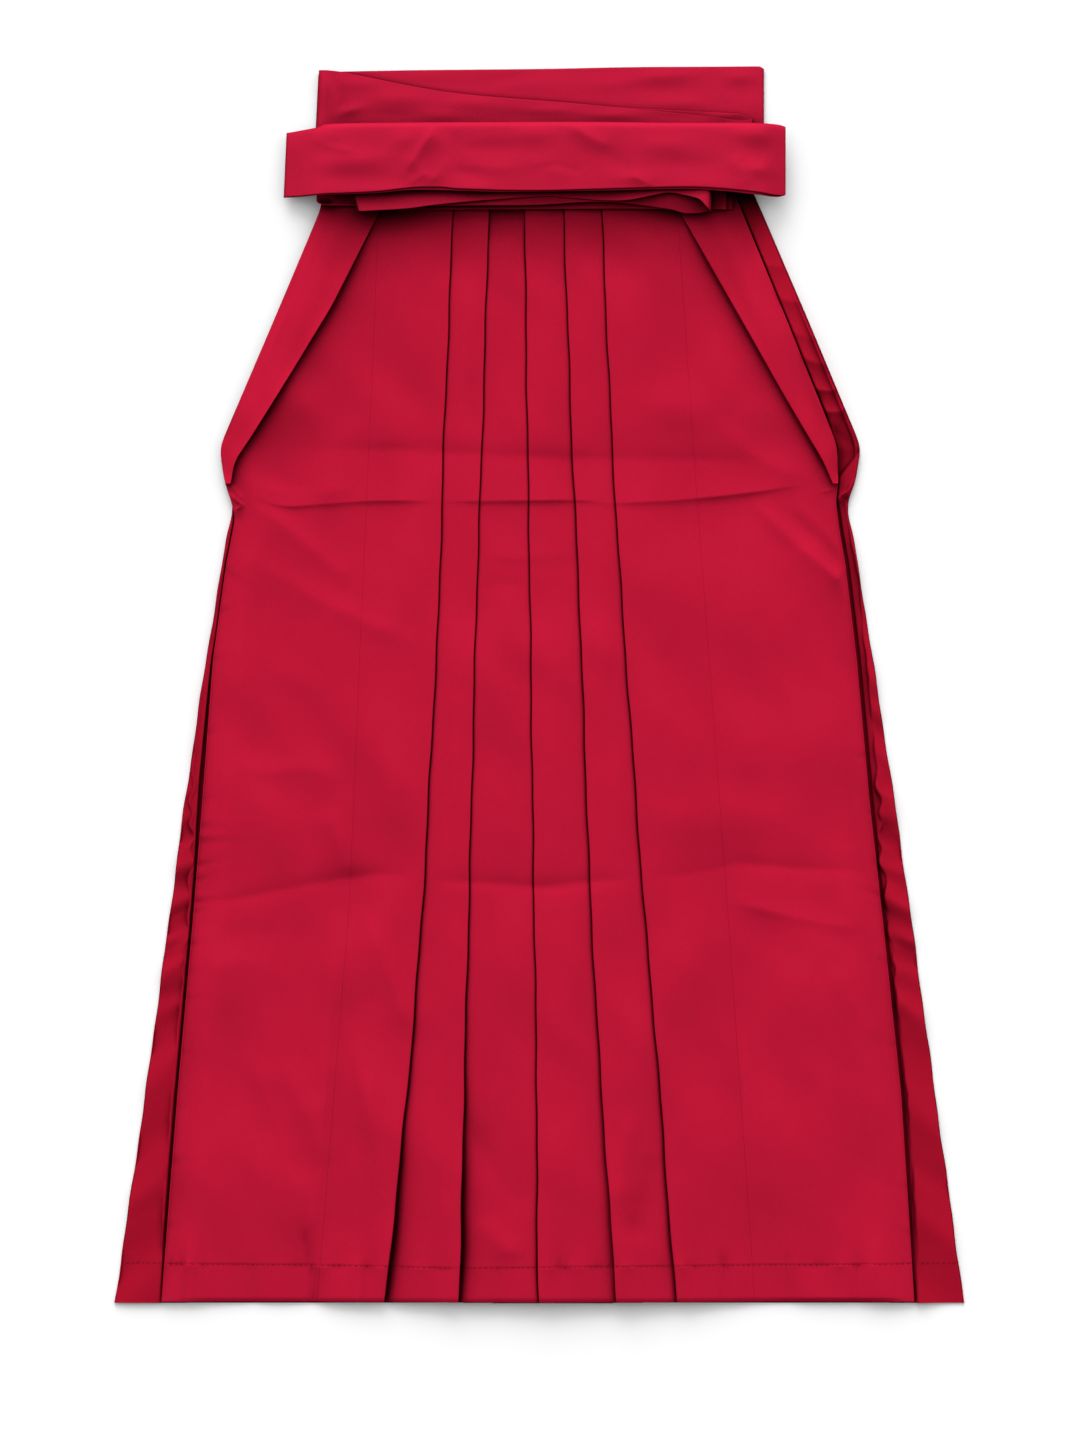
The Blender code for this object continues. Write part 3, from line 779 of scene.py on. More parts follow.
def strip_relief(side, x, y):
    """The open slot, the puckered seam and the waves of a back where it shows beside the front."""
    outside = side * (x - front_edge(side, y))
    slot, line = side_slot(side, y), side_seam(side, y)
    showing = smooth((outside + 0.6) / 2.0)
    up_slot = smooth((outside - slot) / 1.2)
    past_line = smooth((outside - line) / 1.4)
    beyond = np.clip(outside - line, 0, None)
    if side == RIGHT:
        form = 2.3 * up_slot - 0.9 * past_line + 0.5 * hump(outside - line + 0.9, 0.9)
    else:
        form = 0.7 * up_slot + 2.1 * past_line
    form = form * (0.25 + 0.75 * np.exp(-beyond / 13.0)) - 0.6 * (1 - up_slot)
    rough = fade(np.abs(y + 150) - 70, 110)
    cross = np.sin(y / 4.3 + 0.2 * beyond + 1.7 * np.sin(y / 21)) * np.exp(-beyond / 7)
    long = np.sin(y / 5.6 + 0.14 * beyond + 1.6 * np.sin(y / 33))
    slow = np.sin(y / 14.0 + 0.08 * beyond + side)
    waves = (0.9 * cross * rough + 1.0 * long * (0.18 + rough) + 1.3 * slow) * past_line
    return showing * (form + waves) * smooth((165 - y) / 20)


def opening_relief(x, y):
    """Cross ripples, rim and drawn end of the left back's turned edge in the side opening."""
    outside = x - front_edge(LEFT, y)
    inset = np.clip(back_edge(LEFT, y) - x, 0, None)
    showing = smooth((outside + 0.6) / 2.0)
    ripples = sum(crease(x, y, *entry) for entry in OPENING_FOLDS) * smooth((outside + 2) / 5.0)
    raised = mix(2.6, 4.6, smooth((y - 235) / 50)) * smooth((outside + 3) / 5.0)
    ripples = np.maximum(ripples + raised, 0.0) * (0.35 + 0.65 * smooth(inset / 3.0))
    ripples = ripples * smooth((y - 190) / 12) * smooth((425 - y) / 20)
    rim = 2.6 * hump(inset - 3.2, 1.5) - 0.8 * hump(inset - 1.4, 0.6)
    rim = rim * fade(np.abs(y - 240) - 40, 60)
    # a slanting band crosses the lower end of the opening, and curls round a small pit
    slant = (x - 264.0) * 0.784 - (y - 192.0) * 0.62
    band = 3.2 * smooth((slant + 0.8) / 1.6) * (1 - 0.02 * np.clip(slant, 0, 30))
    band = band * smooth((206 - y) / 10) * smooth((y - 150) / 6)
    curl = crease(x, y, *OPENING_CURL)
    pit = -2.2 * np.exp(-((x - 254.5) ** 2 + (y - 155.0) ** 2) / 6.0)
    return showing * (ripples + np.maximum(rim, band) + curl + pit * smooth((165 - y) / 4))


def back_section(side, y):
    """From the centre seam through the pleat, across the ground and up over the folded side."""
    seam = centre_seam(y)
    fold = seam + side * back_fold(y)
    inner = fold + side * back_depth(y)
    edge = back_edge(side, y)
    strip_end = front_edge(side, y) - side * BACK_STRIP_UNDER
    ground, first, second = (layer(number) + 0 * y for number in range(3))

    def level(start, end, z, count):
        return [(x, z) for x in spread(start, end, count)]

    columns = level(seam + side * GAP / 2, inner - side * PAST_FOLD, second, 3)
    columns += turned(inner, second, first, -side, 4)
    columns += level(inner - side * PAST_FOLD, fold + side * PAST_FOLD, first, 3)
    columns += turned(fold, first, ground, side, 4)
    columns += level(fold + side * PAST_FOLD, edge - side * PAST_FOLD, ground, 6)
    columns += turned(edge, ground, first, -side, 5)
    under = front_edge(side, y) - side * 2
    showing = spread(edge - side * 0.9, under, 30)
    for x in showing + spread(under, strip_end, 4, (False, True)):
        shown = strip_relief(side, x, y) + 0.4 * hem_relief(x, y)
        if side == LEFT:
            shown = shown + opening_relief(x, y)
        columns.append((x, np.maximum(layer(1) + shown, layer(0) + 2.1 * half_cloth())))
    return columns


def gusset_section(side, y):
    """A strip folded double beside the centre seam."""
    start = centre_seam(y) + side * GAP / 2
    fold = centre_seam(y) + side * gusset_width(y)
    low, high = layer(3) + 0 * y, layer(4) + 0 * y
    upper = [(x, high) for x in spread(start, fold - side * 1.5, 5)]
    lower = [(x, low) for x in spread(fold - side * 1.5, start, 5)]
    return upper + turned(fold, high, low, -side, 5) + lower


def side_fold_section(side, y):
    """The slanting fold: a turned outer edge and a wavy face that ends at a folded edge."""
    outer, inner = front_edge(side, y), side_fold(side, y)
    sprung_edge = 2.2 if side == RIGHT else 3.0
    columns = []
    for share in [0, 0.01, 0.03, *(i / 24 for i in range(1, 24)), 0.97, 0.99, 1]:
        x = mix(outer - side * half_cloth(), inner, share)
        rim = 0.5 * np.exp(-np.abs(x - outer) / 1.5)
        across = side * (outer - x)
        from_inner = np.abs(x - inner)
        ripple = np.sin(y / 7.5 + 0.14 * across + 1.4 * np.sin(y / 31)) * np.exp(-across / 16)
        soft = np.sin(y / 17.0 + 0.07 * across + 0.9 * side)
        lift = PITCH + 0.9 + 0.6 * ripple * smooth((380 - y) / 40) + 0.5 * soft - rim
        lift += sprung_edge * np.exp(-from_inner / 4.0) * smooth((390 - y) / 50)
        columns.append((x, side_panel(side, x, y) + np.maximum(lift, PITCH + 0.1)))
    return columns


# ---- Making the meshes -------------------------------------------------------------

def rows_between(top, bottom, extra=()):
    """Heights from top to bottom, closer together where the cloth turns or is sewn."""
    step = sizes().grid / MM
    count = max(2, round((top - bottom) / step))
    rows = [mix(top, bottom, i / count) for i in range(count + 1)]
    for low, high, fine in extra:
        low, high = max(low, bottom), min(high, top)
        if low < high:
            rows = [y for y in rows if not low <= y <= high]
            parts = max(1, round((high - low) / fine))
            rows += [mix(low, high, i / parts) for i in range(parts + 1)]
    return np.array(sorted(set(round(y, 3) for y in rows), reverse=True))


def add_object(name, data):
    obj = bpy.data.objects.new(name, data)
    bpy.context.scene.collection.objects.link(obj)
    return obj


def mesh_from(shape, name):
    mesh = bpy.data.meshes.new(name)
    shape.to_mesh(mesh)
    shape.free()
    return mesh


def grid_object(name, points, closed_ring=False):
    """An object from rows of points in millimetres."""
    rows, columns = points.shape[:2]
    shape = bmesh.new()
    bmesh.ops.create_grid(shape, x_segments=columns - 1, y_segments=rows - 1, size=0.5)
    mesh = bpy.data.meshes.new(name)
    shape.to_mesh(mesh)
    mesh.vertices.foreach_set("co", (points.reshape(-1, 3) * MM).astype(np.float32).ravel())
    if closed_ring:
        shape.clear()
        shape.from_mesh(mesh)
        bmesh.ops.remove_doubles(shape, verts=shape.verts, dist=1e-6)
        open_edges = [edge for edge in shape.edges if edge.is_boundary]
        bmesh.ops.holes_fill(shape, edges=open_edges, sides=0)
        bmesh.ops.recalc_face_normals(shape, faces=shape.faces)
        shape.to_mesh(mesh)
    shape.free()
    mesh.shade_smooth()
    mesh.update()
    return add_object(name, mesh)


def rimmed(points, inside=0.25):
    """The points with one more row or column just inside each free edge, so rims stay crisp."""
    for _ in range(2):
        reach = np.linalg.norm(points[1] - points[0], axis=-1, keepdims=True).clip(min=2 * inside)
        ahead = points[0] + (points[1] - points[0]) * inside / reach
        reach = np.linalg.norm(points[-2] - points[-1], axis=-1, keepdims=True).clip(min=2 * inside)
        behind = points[-1] + (points[-2] - points[-1]) * inside / reach
        points = np.concatenate([points[:1], ahead[None], points[1:-1], behind[None], points[-1:]])
        points = points.swapaxes(0, 1)
    return points


def finish_piece(obj, material):
    obj.data.materials.append(material)
    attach(obj, "root")


def cloth_panel(node, section, y, material, added=None):
    """The panel that replaces a node: cloth through a section for every height y."""
    columns = section(y)
    x = np.stack([np.broadcast_to(column[0], y.shape) for column in columns], axis=1)
    z = np.stack([np.broadcast_to(column[1], y.shape) for column in columns], axis=1)
    down = np.repeat(y[:, None], x.shape[1], axis=1)
    if added is not None:
        z = z + added(x, down)
    points = np.stack([x, down, z], axis=2)
    obj = grid_object(node + "_cloth", rimmed(points))
    wall = obj.modifiers.new("cloth", "SOLIDIFY")
    wall.thickness = sizes().cloth
    wall.offset = 0
    finish_piece(obj, material)
    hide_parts(node)


def ribbon(node, path, low, high, thickness, shape=None, lean=None, fine=60.0):
    """A flat tie with soft edges along a path of (x, z), in place of a node.

    low and high give its edges from x and from the share of the path that is run. shape adds
    height and lean moves points along x. The first fine millimetres have the closest columns.
    """
    path = np.array(path, float)
    along = np.gradient(path, axis=0)
    along /= np.linalg.norm(along, axis=1).clip(min=1e-9)[:, None]
    travelled = np.concatenate([[0], np.cumsum(np.linalg.norm(np.diff(path, axis=0), axis=1))])
    share = travelled / travelled[-1]
    half = thickness / 2
    rim = np.array([0.0, 0.15, 0.5, 1.0, 1.8]) * half
    bottom = np.array([low(x, s) for (x, z), s in zip(path, share)])
    width = np.array([high(x, s) for (x, z), s in zip(path, share)]) - bottom
    rings = []
    for i, (x, z) in enumerate(path):
        between = width[i] - 2 * rim[-1]
        close = min(fine, between)
        middle = [*np.arange(0, 1, 1 / round(fine / 1.6)) * close, *np.linspace(close, between, 8)]
        across = np.array([*rim[:-1], *(rim[-1] + np.array(middle)), *(width[i] - rim[-2::-1])])
        near = np.minimum(np.minimum(across, width[i] - across), half)
        off = np.sqrt((half ** 2 - (half - near) ** 2).clip(min=0))
        across, off = np.append(across, across[-2::-1]), np.append(off, -off[-2::-1])
        y = bottom[i] + across
        rings.append(np.stack([x - along[i, 1] * off, y, z + along[i, 0] * off], axis=1))
    points = np.array(rings)
    if shape:
        shares = np.repeat(share[:, None], points.shape[1], axis=1)
        points[:, :, 2] += shape(points[:, :, 0], points[:, :, 1], shares)
    if lean:
        points[:, :, 0] += lean(points[:, :, 0], points[:, :, 1])
    obj = grid_object(node + "_cloth", points, closed_ring=True)
    finish_piece(obj, tie_cloth())
    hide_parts(node)


def curve_through(points):
    """A function of x through points, with its corners rounded."""
    line = np.array(rounded(points, 8))
    return lambda x: float(np.interp(x, line[:, 0], line[:, 1]))


# ---- Materials ---------------------------------------------------------------------

def new_group(name, inputs, outputs):
    """An empty shader group with named sockets."""
    group = bpy.data.node_groups.new(name, "ShaderNodeTree")
    for label, kind, default in inputs:
        socket = group.interface.new_socket(name=label, in_out="INPUT", socket_type=kind)
        if default is not None:
            socket.default_value = default
    for label, kind in outputs:
        group.interface.new_socket(name=label, in_out="OUTPUT", socket_type=kind)
    return group, group.nodes.new("NodeGroupInput"), group.nodes.new("NodeGroupOutput")


def feed(tree, socket, value):
    """Link a socket to another one, or set it to a fixed value."""
    if isinstance(value, bpy.types.NodeSocket):
        tree.links.new(value, socket)
    else:
        socket.default_value = value


def set_inputs(node, values):
    for label, value in values.items():
        node.inputs[label].default_value = value


def math_node(tree, operation, first, second=0.0):
    node = tree.nodes.new("ShaderNodeMath")
    node.operation = operation
    feed(tree, node.inputs[0], first)
    feed(tree, node.inputs[1], second)
    return node.outputs["Value"]


def vector_node(tree, operation, first, second=(0.0, 0.0, 0.0)):
    node = tree.nodes.new("ShaderNodeVectorMath")
    node.operation = operation
    feed(tree, node.inputs[0], first)
    feed(tree, node.inputs[1], second)
    return node.outputs["Value" if operation == "DOT_PRODUCT" else "Vector"]


def mix_node(tree, share, first, second):
    """A colour between two colours, each a socket or red, green and blue."""
    node = tree.nodes.new("ShaderNodeMix")
    node.data_type = "RGBA"
    feed(tree, node.inputs["Factor"], share)
    for label, colour in (("A", first), ("B", second)):
        fixed = isinstance(colour, tuple)
        feed(tree, node.inputs[label], (*colour, 1) if fixed else colour)
    return node.outputs["Result"]


def noise_node(tree, vector, scale, detail, roughness=0.5):
    node = tree.nodes.new("ShaderNodeTexNoise")
    set_inputs(node, {"Scale": scale, "Detail": detail, "Roughness": roughness})
    tree.links.new(vector, node.inputs["Vector"])
    return node.outputs["Fac"]


def twill_group():
    """Slanting ribs of a fine twill, with threads that vary a little."""
    name = "fine_twill"
    if name in bpy.data.node_groups:
        return bpy.data.node_groups[name]
    inputs = (("Position", "NodeSocketVector", None), ("Rib spacing", "NodeSocketFloat", 0.0007))
    outputs = (("Rib", "NodeSocketFloat"), ("Thread", "NodeSocketFloat"))
    group, entry, leave = new_group(name, inputs, outputs)
    place = entry.outputs["Position"]
    split = group.nodes.new("ShaderNodeSeparateXYZ")
    group.links.new(place, split.inputs[0])
    slant = math_node(group, "MULTIPLY", split.outputs["Y"], 0.62)
    slant = math_node(group, "ADD", split.outputs["X"], slant)
    wander = noise_node(group, place, 160.0, 2.0)
    slant = math_node(group, "ADD", slant, math_node(group, "MULTIPLY", wander, 0.0009))
    turns = math_node(group, "DIVIDE", slant, entry.outputs["Rib spacing"])
    wave = math_node(group, "SINE", math_node(group, "MULTIPLY", turns, 2 * math.pi))
    rib = math_node(group, "ADD", math_node(group, "MULTIPLY", wave, 0.5), 0.5)
    stretched = vector_node(group, "MULTIPLY", place, (1.0, 0.12, 1.0))
    thread = noise_node(group, stretched, 1400.0, 2.0, 0.6)
    group.links.new(rib, leave.inputs["Rib"])
    group.links.new(thread, leave.inputs["Thread"])
    return group


def tone_group():
    """Soft lighter and darker changes of tone at random, from broad patches to faint marks."""
    name = "random_tone"
    if name in bpy.data.node_groups:
        return bpy.data.node_groups[name]
    inputs = (
        ("Position", "NodeSocketVector", None),
        ("Cloth", "NodeSocketColor", None),
        ("Lighter cloth", "NodeSocketColor", None),
        ("Patch amount", "NodeSocketFloat", 0.5),
        ("Grain", "NodeSocketFloat", 0.5),
    )
    outputs = (("Colour", "NodeSocketColor"), ("Patch", "NodeSocketFloat"))
    group, entry, leave = new_group(name, inputs, outputs)
    broad = noise_node(group, entry.outputs["Position"], 9.0, 3.0, 0.55)
    fine = noise_node(group, entry.outputs["Position"], 70.0, 3.0, 0.6)
    patch = math_node(group, "ADD", math_node(group, "MULTIPLY", broad, 0.7),
                      math_node(group, "MULTIPLY", fine, 0.3))
    level = math_node(group, "MULTIPLY", patch, entry.outputs["Patch amount"])
    grain = math_node(group, "SUBTRACT", entry.outputs["Grain"], 0.5)
    grain = math_node(group, "MULTIPLY", grain, 0.35)
    share = math_node(group, "ADD", level, grain)
    blend = mix_node(group, share, entry.outputs["Cloth"], entry.outputs["Lighter cloth"])
    group.links.new(blend, leave.inputs["Colour"])
    group.links.new(patch, leave.inputs["Patch"])
    return group


# Painted shade in narrow gaps: how far across they can be, and how strongly the cloth's colour is
# darkened there.
GAP_REACH, GAP_POWER, GAP_SAMPLES = 5.0, 1.6, 3

# Painted shadow in the colour below whatever stands on the waist side: its reach, the lean of the
# half sphere that is looked at, the share of it that is open on flat cloth, the strength, and the
# samples.
SHELTER_REACH, SHELTER_LEAN = 60.0, (-0.32, 0.736, 0.0)
SHELTER_OPEN, SHELTER_POWER, SHELTER_SAMPLES = 0.89, 3.0, 8


def open_share(tree, reach, samples, lean=None):
    """Share of the surroundings within reach that is open, looked at along a leaning normal."""
    closed = tree.nodes.new("ShaderNodeAmbientOcclusion")
    closed.samples = samples
    closed.inputs["Distance"].default_value = reach * MM
    if lean:
        normal = tree.nodes.new("ShaderNodeNewGeometry").outputs["Normal"]
        leaning = vector_node(tree, "NORMALIZE", vector_node(tree, "ADD", normal, lean))
        tree.links.new(leaning, closed.inputs["Normal"])
    return closed.outputs["AO"]


def painted_recess_shade(tree):
    """Painted shade: a factor on the cloth's colour, 1 on open cloth, and less in narrow gaps and below
    whatever stands on the waist side.
    """
    near = math_node(tree, "MAXIMUM", open_share(tree, GAP_REACH, GAP_SAMPLES), 0.05)
    far = open_share(tree, SHELTER_REACH, SHELTER_SAMPLES, SHELTER_LEAN)
    far = math_node(tree, "DIVIDE", far, SHELTER_OPEN)
    sheltered = math_node(tree, "MINIMUM", math_node(tree, "DIVIDE", far, near), 1.0)
    gaps = math_node(tree, "POWER", near, GAP_POWER)
    return math_node(tree, "MULTIPLY", gaps, math_node(tree, "POWER", sheltered, SHELTER_POWER))


def new_material(name, roughness, specular=0.0):
    """A material and its shader."""
    material = bpy.data.materials.new(name)
    material.use_nodes = True
    shader = material.node_tree.nodes["Principled BSDF"]
    set_inputs(shader, {"Roughness": roughness, "Specular IOR Level": specular})
    return material, shader


def own_place(tree):
    """The object's own coordinates."""
    return tree.nodes.new("ShaderNodeTexCoord").outputs["Object"]


def group_node(tree, group, place, values):
    node = tree.nodes.new("ShaderNodeGroup")
    node.node_tree = group
    set_inputs(node, values)
    tree.links.new(place, node.inputs["Position"])
    return node


def scaled(colour, share):
    """A darker or lighter colour."""
    return tuple(share * value for value in colour)


def red_twill(name, colour, roughness=0.46):
    """Smooth red twill whose gloss is tinted like the cloth, with shade painted into its colour in
    narrow gaps and below the waist bundle.
    """
    if name in bpy.data.materials:
        return bpy.data.materials[name]
    material, shader = new_material(name, roughness)
    tree = material.node_tree
    place = own_place(tree)
    weave = group_node(tree, twill_group(), place, {"Rib spacing": sizes().twill})
    tone = group_node(tree, tone_group(), place, {
        "Cloth": (*scaled(colour, 0.93), 1),
        "Lighter cloth": (*scaled(colour, 1.09), 1),
        "Patch amount": 1.0,
    })
    tree.links.new(weave.outputs["Thread"], tone.inputs["Grain"])
    # painted shade: the cloth's colour is blended towards black where the surroundings close in
    colour_with_painted_shade = mix_node(tree, painted_recess_shade(tree), (0.0, 0.0, 0.0), tone.outputs["Colour"])
    tree.links.new(colour_with_painted_shade, shader.inputs["Base Color"])
    rough = math_node(tree, "MULTIPLY", tone.outputs["Patch"], 0.10)
    tree.links.new(math_node(tree, "ADD", rough, roughness - 0.05), shader.inputs["Roughness"])
    height = math_node(tree, "ADD", math_node(tree, "MULTIPLY", weave.outputs["Rib"], 0.6),
                       math_node(tree, "MULTIPLY", weave.outputs["Thread"], 0.8))
    bump = tree.nodes.new("ShaderNodeBump")
    set_inputs(bump, {"Strength": 0.35, "Distance": 0.00012})
    tree.links.new(height, bump.inputs["Height"])
    tree.links.new(bump.outputs["Normal"], shader.inputs["Normal"])
    set_inputs(shader, {"Metallic": 0.26, "IOR": 1.45, "Specular Tint": (1.0, 0.03, 0.12, 1.0)})
    return material


def front_cloth():
    return red_twill("front_twill", colours().front)


# the same twill as the fronts, with a darker colour as painted shade
def painted_shade_back_cloth():
    return red_twill("back_twill_painted_shade", colours().back, 0.5)


def tie_cloth():
    return red_twill("tie_twill", colours().tie, 0.42)


def sewing_thread():
    material, shader = new_material("sewing_thread", 0.6, 0.2)
    tree = material.node_tree
    twist = noise_node(tree, own_place(tree), 2500.0, 1.0)
    colour = mix_node(tree, twist, scaled(colours().thread, 0.7), scaled(colours().thread, 1.4))
    tree.links.new(colour, shader.inputs["Base Color"])
    return material


# ---- Operators: legs ---------------------------------------------------------------

# Where rows of points are closer: from y, to y, distance between rows.
FRONT_ROWS = ((HEM, HEM + 6, 1.6), (HEM + 27, HEM + 36, 0.6), (145, 170, 1.0), (-200, -148, 1.9))
BACK_ROWS = ((HEM, HEM + 4, 1.5), (HEM + 28, HEM + 36, 0.8), (-230, -60, 1.8), (140, 390, 1.5))


class HAKAMA_OT_fronts(bpy.types.Operator):
    """Make both fronts: the pleated middle and the wide side of each leg"""

    bl_idname = "hakama.fronts"
    bl_label = "Fronts"

    def execute(self, context):
        y = rows_between(FRONT_TOP, HEM + 1.2, FRONT_ROWS)
        for side, section in ((RIGHT, front_right_section), (LEFT, front_left_section)):
            word = WORDS[side]
            cloth_panel(f"front_{word}_centre", section, y, front_cloth(),
                        relief)
            cloth_panel(f"front_{word}_side", partial(front_side_section, side), y, front_cloth(),
                        relief)
        return {"FINISHED"}


class HAKAMA_OT_side_folds(bpy.types.Operator):
    """Make the slanting folds along the side openings"""

    bl_idname = "hakama.side_folds"
    bl_label = "Side folds"

    def execute(self, context):
        y = rows_between(FRONT_TOP, 167.0)
        for side, word in WORDS.items():
            cloth_panel(f"side_fold_{word}", partial(side_fold_section, side), y, front_cloth(),
                        relief)
        return {"FINISHED"}


class HAKAMA_OT_backs(bpy.types.Operator):
    """Make both backs with their pleats, and the gussets inside the legs"""

    bl_idname = "hakama.backs"
    bl_label = "Backs and gussets"

    def execute(self, context):
        rows = rows_between(BACK_TOP, HEM, BACK_ROWS)
        inside = rows_between(CROTCH, HEM)
        for side, word in WORDS.items():
            cloth_panel(f"back_{word}", partial(back_section, side), rows, painted_shade_back_cloth())
            cloth_panel(f"gusset_{word}", partial(gusset_section, side), inside, painted_shade_back_cloth())
        return {"FINISHED"}


# ---- Operators: waist --------------------------------------------------------------

# Heights of the front waistband, of the turns inside the bundle and of its top layer.
BAND_Z = TIE_BASE + 4.0
CORE_LOW = BAND_Z + 3 * PITCH - 0.5
INNER_Z = CORE_LOW + 2.3 + GAP + 0.5
TOP_Z = INNER_Z + 2 * PITCH

# Straight edges of the back waistband, of the turns inside the bundle and of the inner tie.
BACK_BAND_LOW, CORE_HIGH, INNER_HIGH = 457.2, 452.0, 450.0
TIE_WIDTH = 57.5

# The other edges of the bands and ties: points of x and y. A tie that turns over has an edge
# for its layer below, too.
back_band_top = curve_through((
    (-187, 510.2), (-100, 511.8), (0, 512.8), (70, 514.2), (130, 514.6), (188, 515.0),
))
back_tie_top = curve_through((
    (-190, 511.5), (-162, 509.2), (-75, 493.0), (30, 483.8), (137, 473.3), (182, 466.5),
))
back_tie_second = curve_through((
    (-190, 509.5), (-75, 491.0), (0, 484.4), (60, 481.2), (127, 477.4), (172, 475.2), (184, 473.0),
))
front_tie_top = curve_through((
    (-214, 458.4), (-185, 462.1), (-162, 465.2), (0, 466.4), (100, 465.8), (187, 465.4), (206, 462.6),
))
front_tie_low = curve_through((
    (-214, 405.2), (-186, 406.5), (-138, 408.2), (-106, 411.7), (-82, 412.1), (-68, 410.7),
    (-33, 409.6), (4, 409.3), (52, 410.6), (114, 412.3), (146, 411.3), (177, 408.5), (194, 406.4),
    (206, 407.3),
))
front_tie_under = curve_through((
    (-214, 404.6), (-186, 405.6), (-138, 407.0), (-100, 409.8), (-33, 408.2), (52, 409.2),
    (114, 410.6), (150, 409.0), (181, 405.7), (198, 404.2), (206, 406.4),
))
inner_tie_low = curve_through((
    (-152, 392.2), (-138, 392.9), (-110, 394.6), (-85, 397.9), (-47, 401.5), (4, 405.0), (23, 403.8),
    (54, 401.5), (73, 401.7), (93, 405.4), (107, 407.9), (121, 405.4), (132, 402.1), (138, 397.0),
    (142, 393.0),
))
inner_tie_under = curve_through((
    (-152, 393.0), (-110, 396.5), (-60, 397.5), (-4, 398.0), (40, 400.4), (69, 399.6), (107, 394.6),
    (121, 391.3), (142, 391.8),
))


def there_and_back(start, end, height, gap, loop=0.0, count=150):
    """Path of a tie that runs to end, turns over and comes back above itself."""
    way = 1 if end > start else -1
    radius = gap / 2 + loop
    stop = end - way * (radius + 0.5)
    places = [mix(start, stop, i / count) for i in range(count + 1)]
    path = [(x, height(x)) for x in places]
    base = height(stop)
    for i in range(1, 10):
        angle = math.pi * (i / 10 - 0.5)
        path.append((stop + way * radius * math.cos(angle), base + gap / 2 + radius * math.sin(angle)))
    back = [(x, z + gap + 2 * loop * fade(abs(stop - x), 25)) for x, z in reversed(path[:count + 1])]
    return path + back


def level_path(start, end, z, count=120):
    """Path of a band that lies at one height."""
    return [(mix(start, end, i / count), z) for i in range(count + 1)]


def way_back(share):
    """0 on a tie's way out, and 1 on its way back above itself."""
    return smooth((share - 0.48) / 0.04)


def back_lean(x, y):
    """The wearer's right end of the back band and of the back tie slants."""
    return -2.6 * fade(x + 184.5, 12) * (511 - y) / 54


class HAKAMA_OT_waistbands(bpy.types.Operator):
    """Make the front and the back waistband"""

    bl_idname = "hakama.waistbands"
    bl_label = "Waistbands"

    def execute(self, context):
        def press(x, y, share):
            return np.maximum(0.12 * np.sin(x / 19 + y / 11) + 0.7 * hills(x, y, BACK_BAND_HILLS), -0.5)

        def back_top(x, share):
            return back_band_top(x) - 2.2 * math.exp((abs(x - 1.0) - 185.5) / 1.1)

        def front_low(x, share):
            return BAND_LOW + 1.2 * math.exp(-((x + 150) / 50) ** 2) + 2.2 * float(fade(x + 160, 20))

        path = level_path(-184.5, 186.5, BACK_BAND_THICK / 2 + 0.4)
        ribbon("waistband_back", path, lambda x, share: BACK_BAND_LOW, back_top, BACK_BAND_THICK - 0.3,
               press, back_lean)
        path = level_path(-181.0, 160.0, BAND_Z)
        ribbon("waistband_front", path, front_low, lambda x, share: BAND_HIGH, 0.95,
               fine=12.0)
        return {"FINISHED"}


# Soft hills and hollows of the ties and of the back waistband, with the columns of DENTS.
FRONT_TIE_HILLS = (
    (-155, 434, 30, 8, 4, 1.5), (-150, 420, 26, 6, 0, -0.9), (-203, 447, 10, 8, 0, 1.1),
    (-205, 424, 9, 8, 0, -0.6), (-112, 452, 13, 8, 20, 1.3), (-93, 438, 12, 9, 30, -1.0),
    (-92, 420, 11, 6, 20, 0.9), (-60, 424, 12, 5, 0, -0.9), (-54, 411, 14, 6, 0, 1.4),
    (-40, 444, 22, 7, 0, -1.2), (-38, 428, 20, 6, 0, 0.8), (-5, 456, 16, 8, 0, 1.4),
    (8, 428, 24, 8, -15, 0.9), (40, 452, 16, 7, -35, 1.4), (60, 436, 16, 8, -35, -1.2),
    (76, 420, 18, 6, 0, 1.1), (104, 447, 20, 8, 0, 1.2), (120, 431, 22, 7, 0, -0.9),
    (137, 414, 20, 6, 0, 0.9), (176, 456, 16, 6, 0, 1.2), (182, 442, 13, 8, 0, -1.6),
    (182, 427, 13, 6, 0, 1.5), (-178, 455, 14, 6, 0, 0.8), (-128, 410, 24, 4, 0, 0.8),
)
BACK_BAND_HILLS = (
    (104, 507, 30, 6, 5, 1.2), (106, 496, 24, 6, 0, -0.8), (165, 506, 13, 6, 0, 1.1),
    (170, 495, 13, 8, 0, -0.9), (0, 500, 40, 8, 0, 0.5), (-100, 507, 30, 5, 0, 0.5),
    (120, 484, 30, 5, 0, 0.9), (-30, 504, 26, 5, 10, -0.5), (60, 500, 20, 6, 0, 0.6),
    (150, 484, 16, 5, 0, -0.5),
)
BACK_TIE_HILLS = (
    (-178, 492, 3.0, 18, 10, 0.9), (-168, 487, 2.6, 15, 20, 1.0), (-158, 478, 10, 4, 20, 1.3),
    (-150, 500, 16, 6, 0, 0.8), (-118, 488, 24, 7, 0, 0.9), (-122, 474, 24, 5, 0, -0.6),
    (-60, 484, 26, 6, 0, 0.8), (-84, 474, 20, 5, 0, 0.6), (-20, 473, 24, 5, 0, -0.5),
    (10, 478, 20, 4, 0, 0.5), (60, 474, 24, 4, 0, 0.6), (120, 473, 26, 4, 0, -0.5),
    (152, 474, 10, 3, 0, 0.7), (166, 470, 8, 3, 0, -0.6),
)

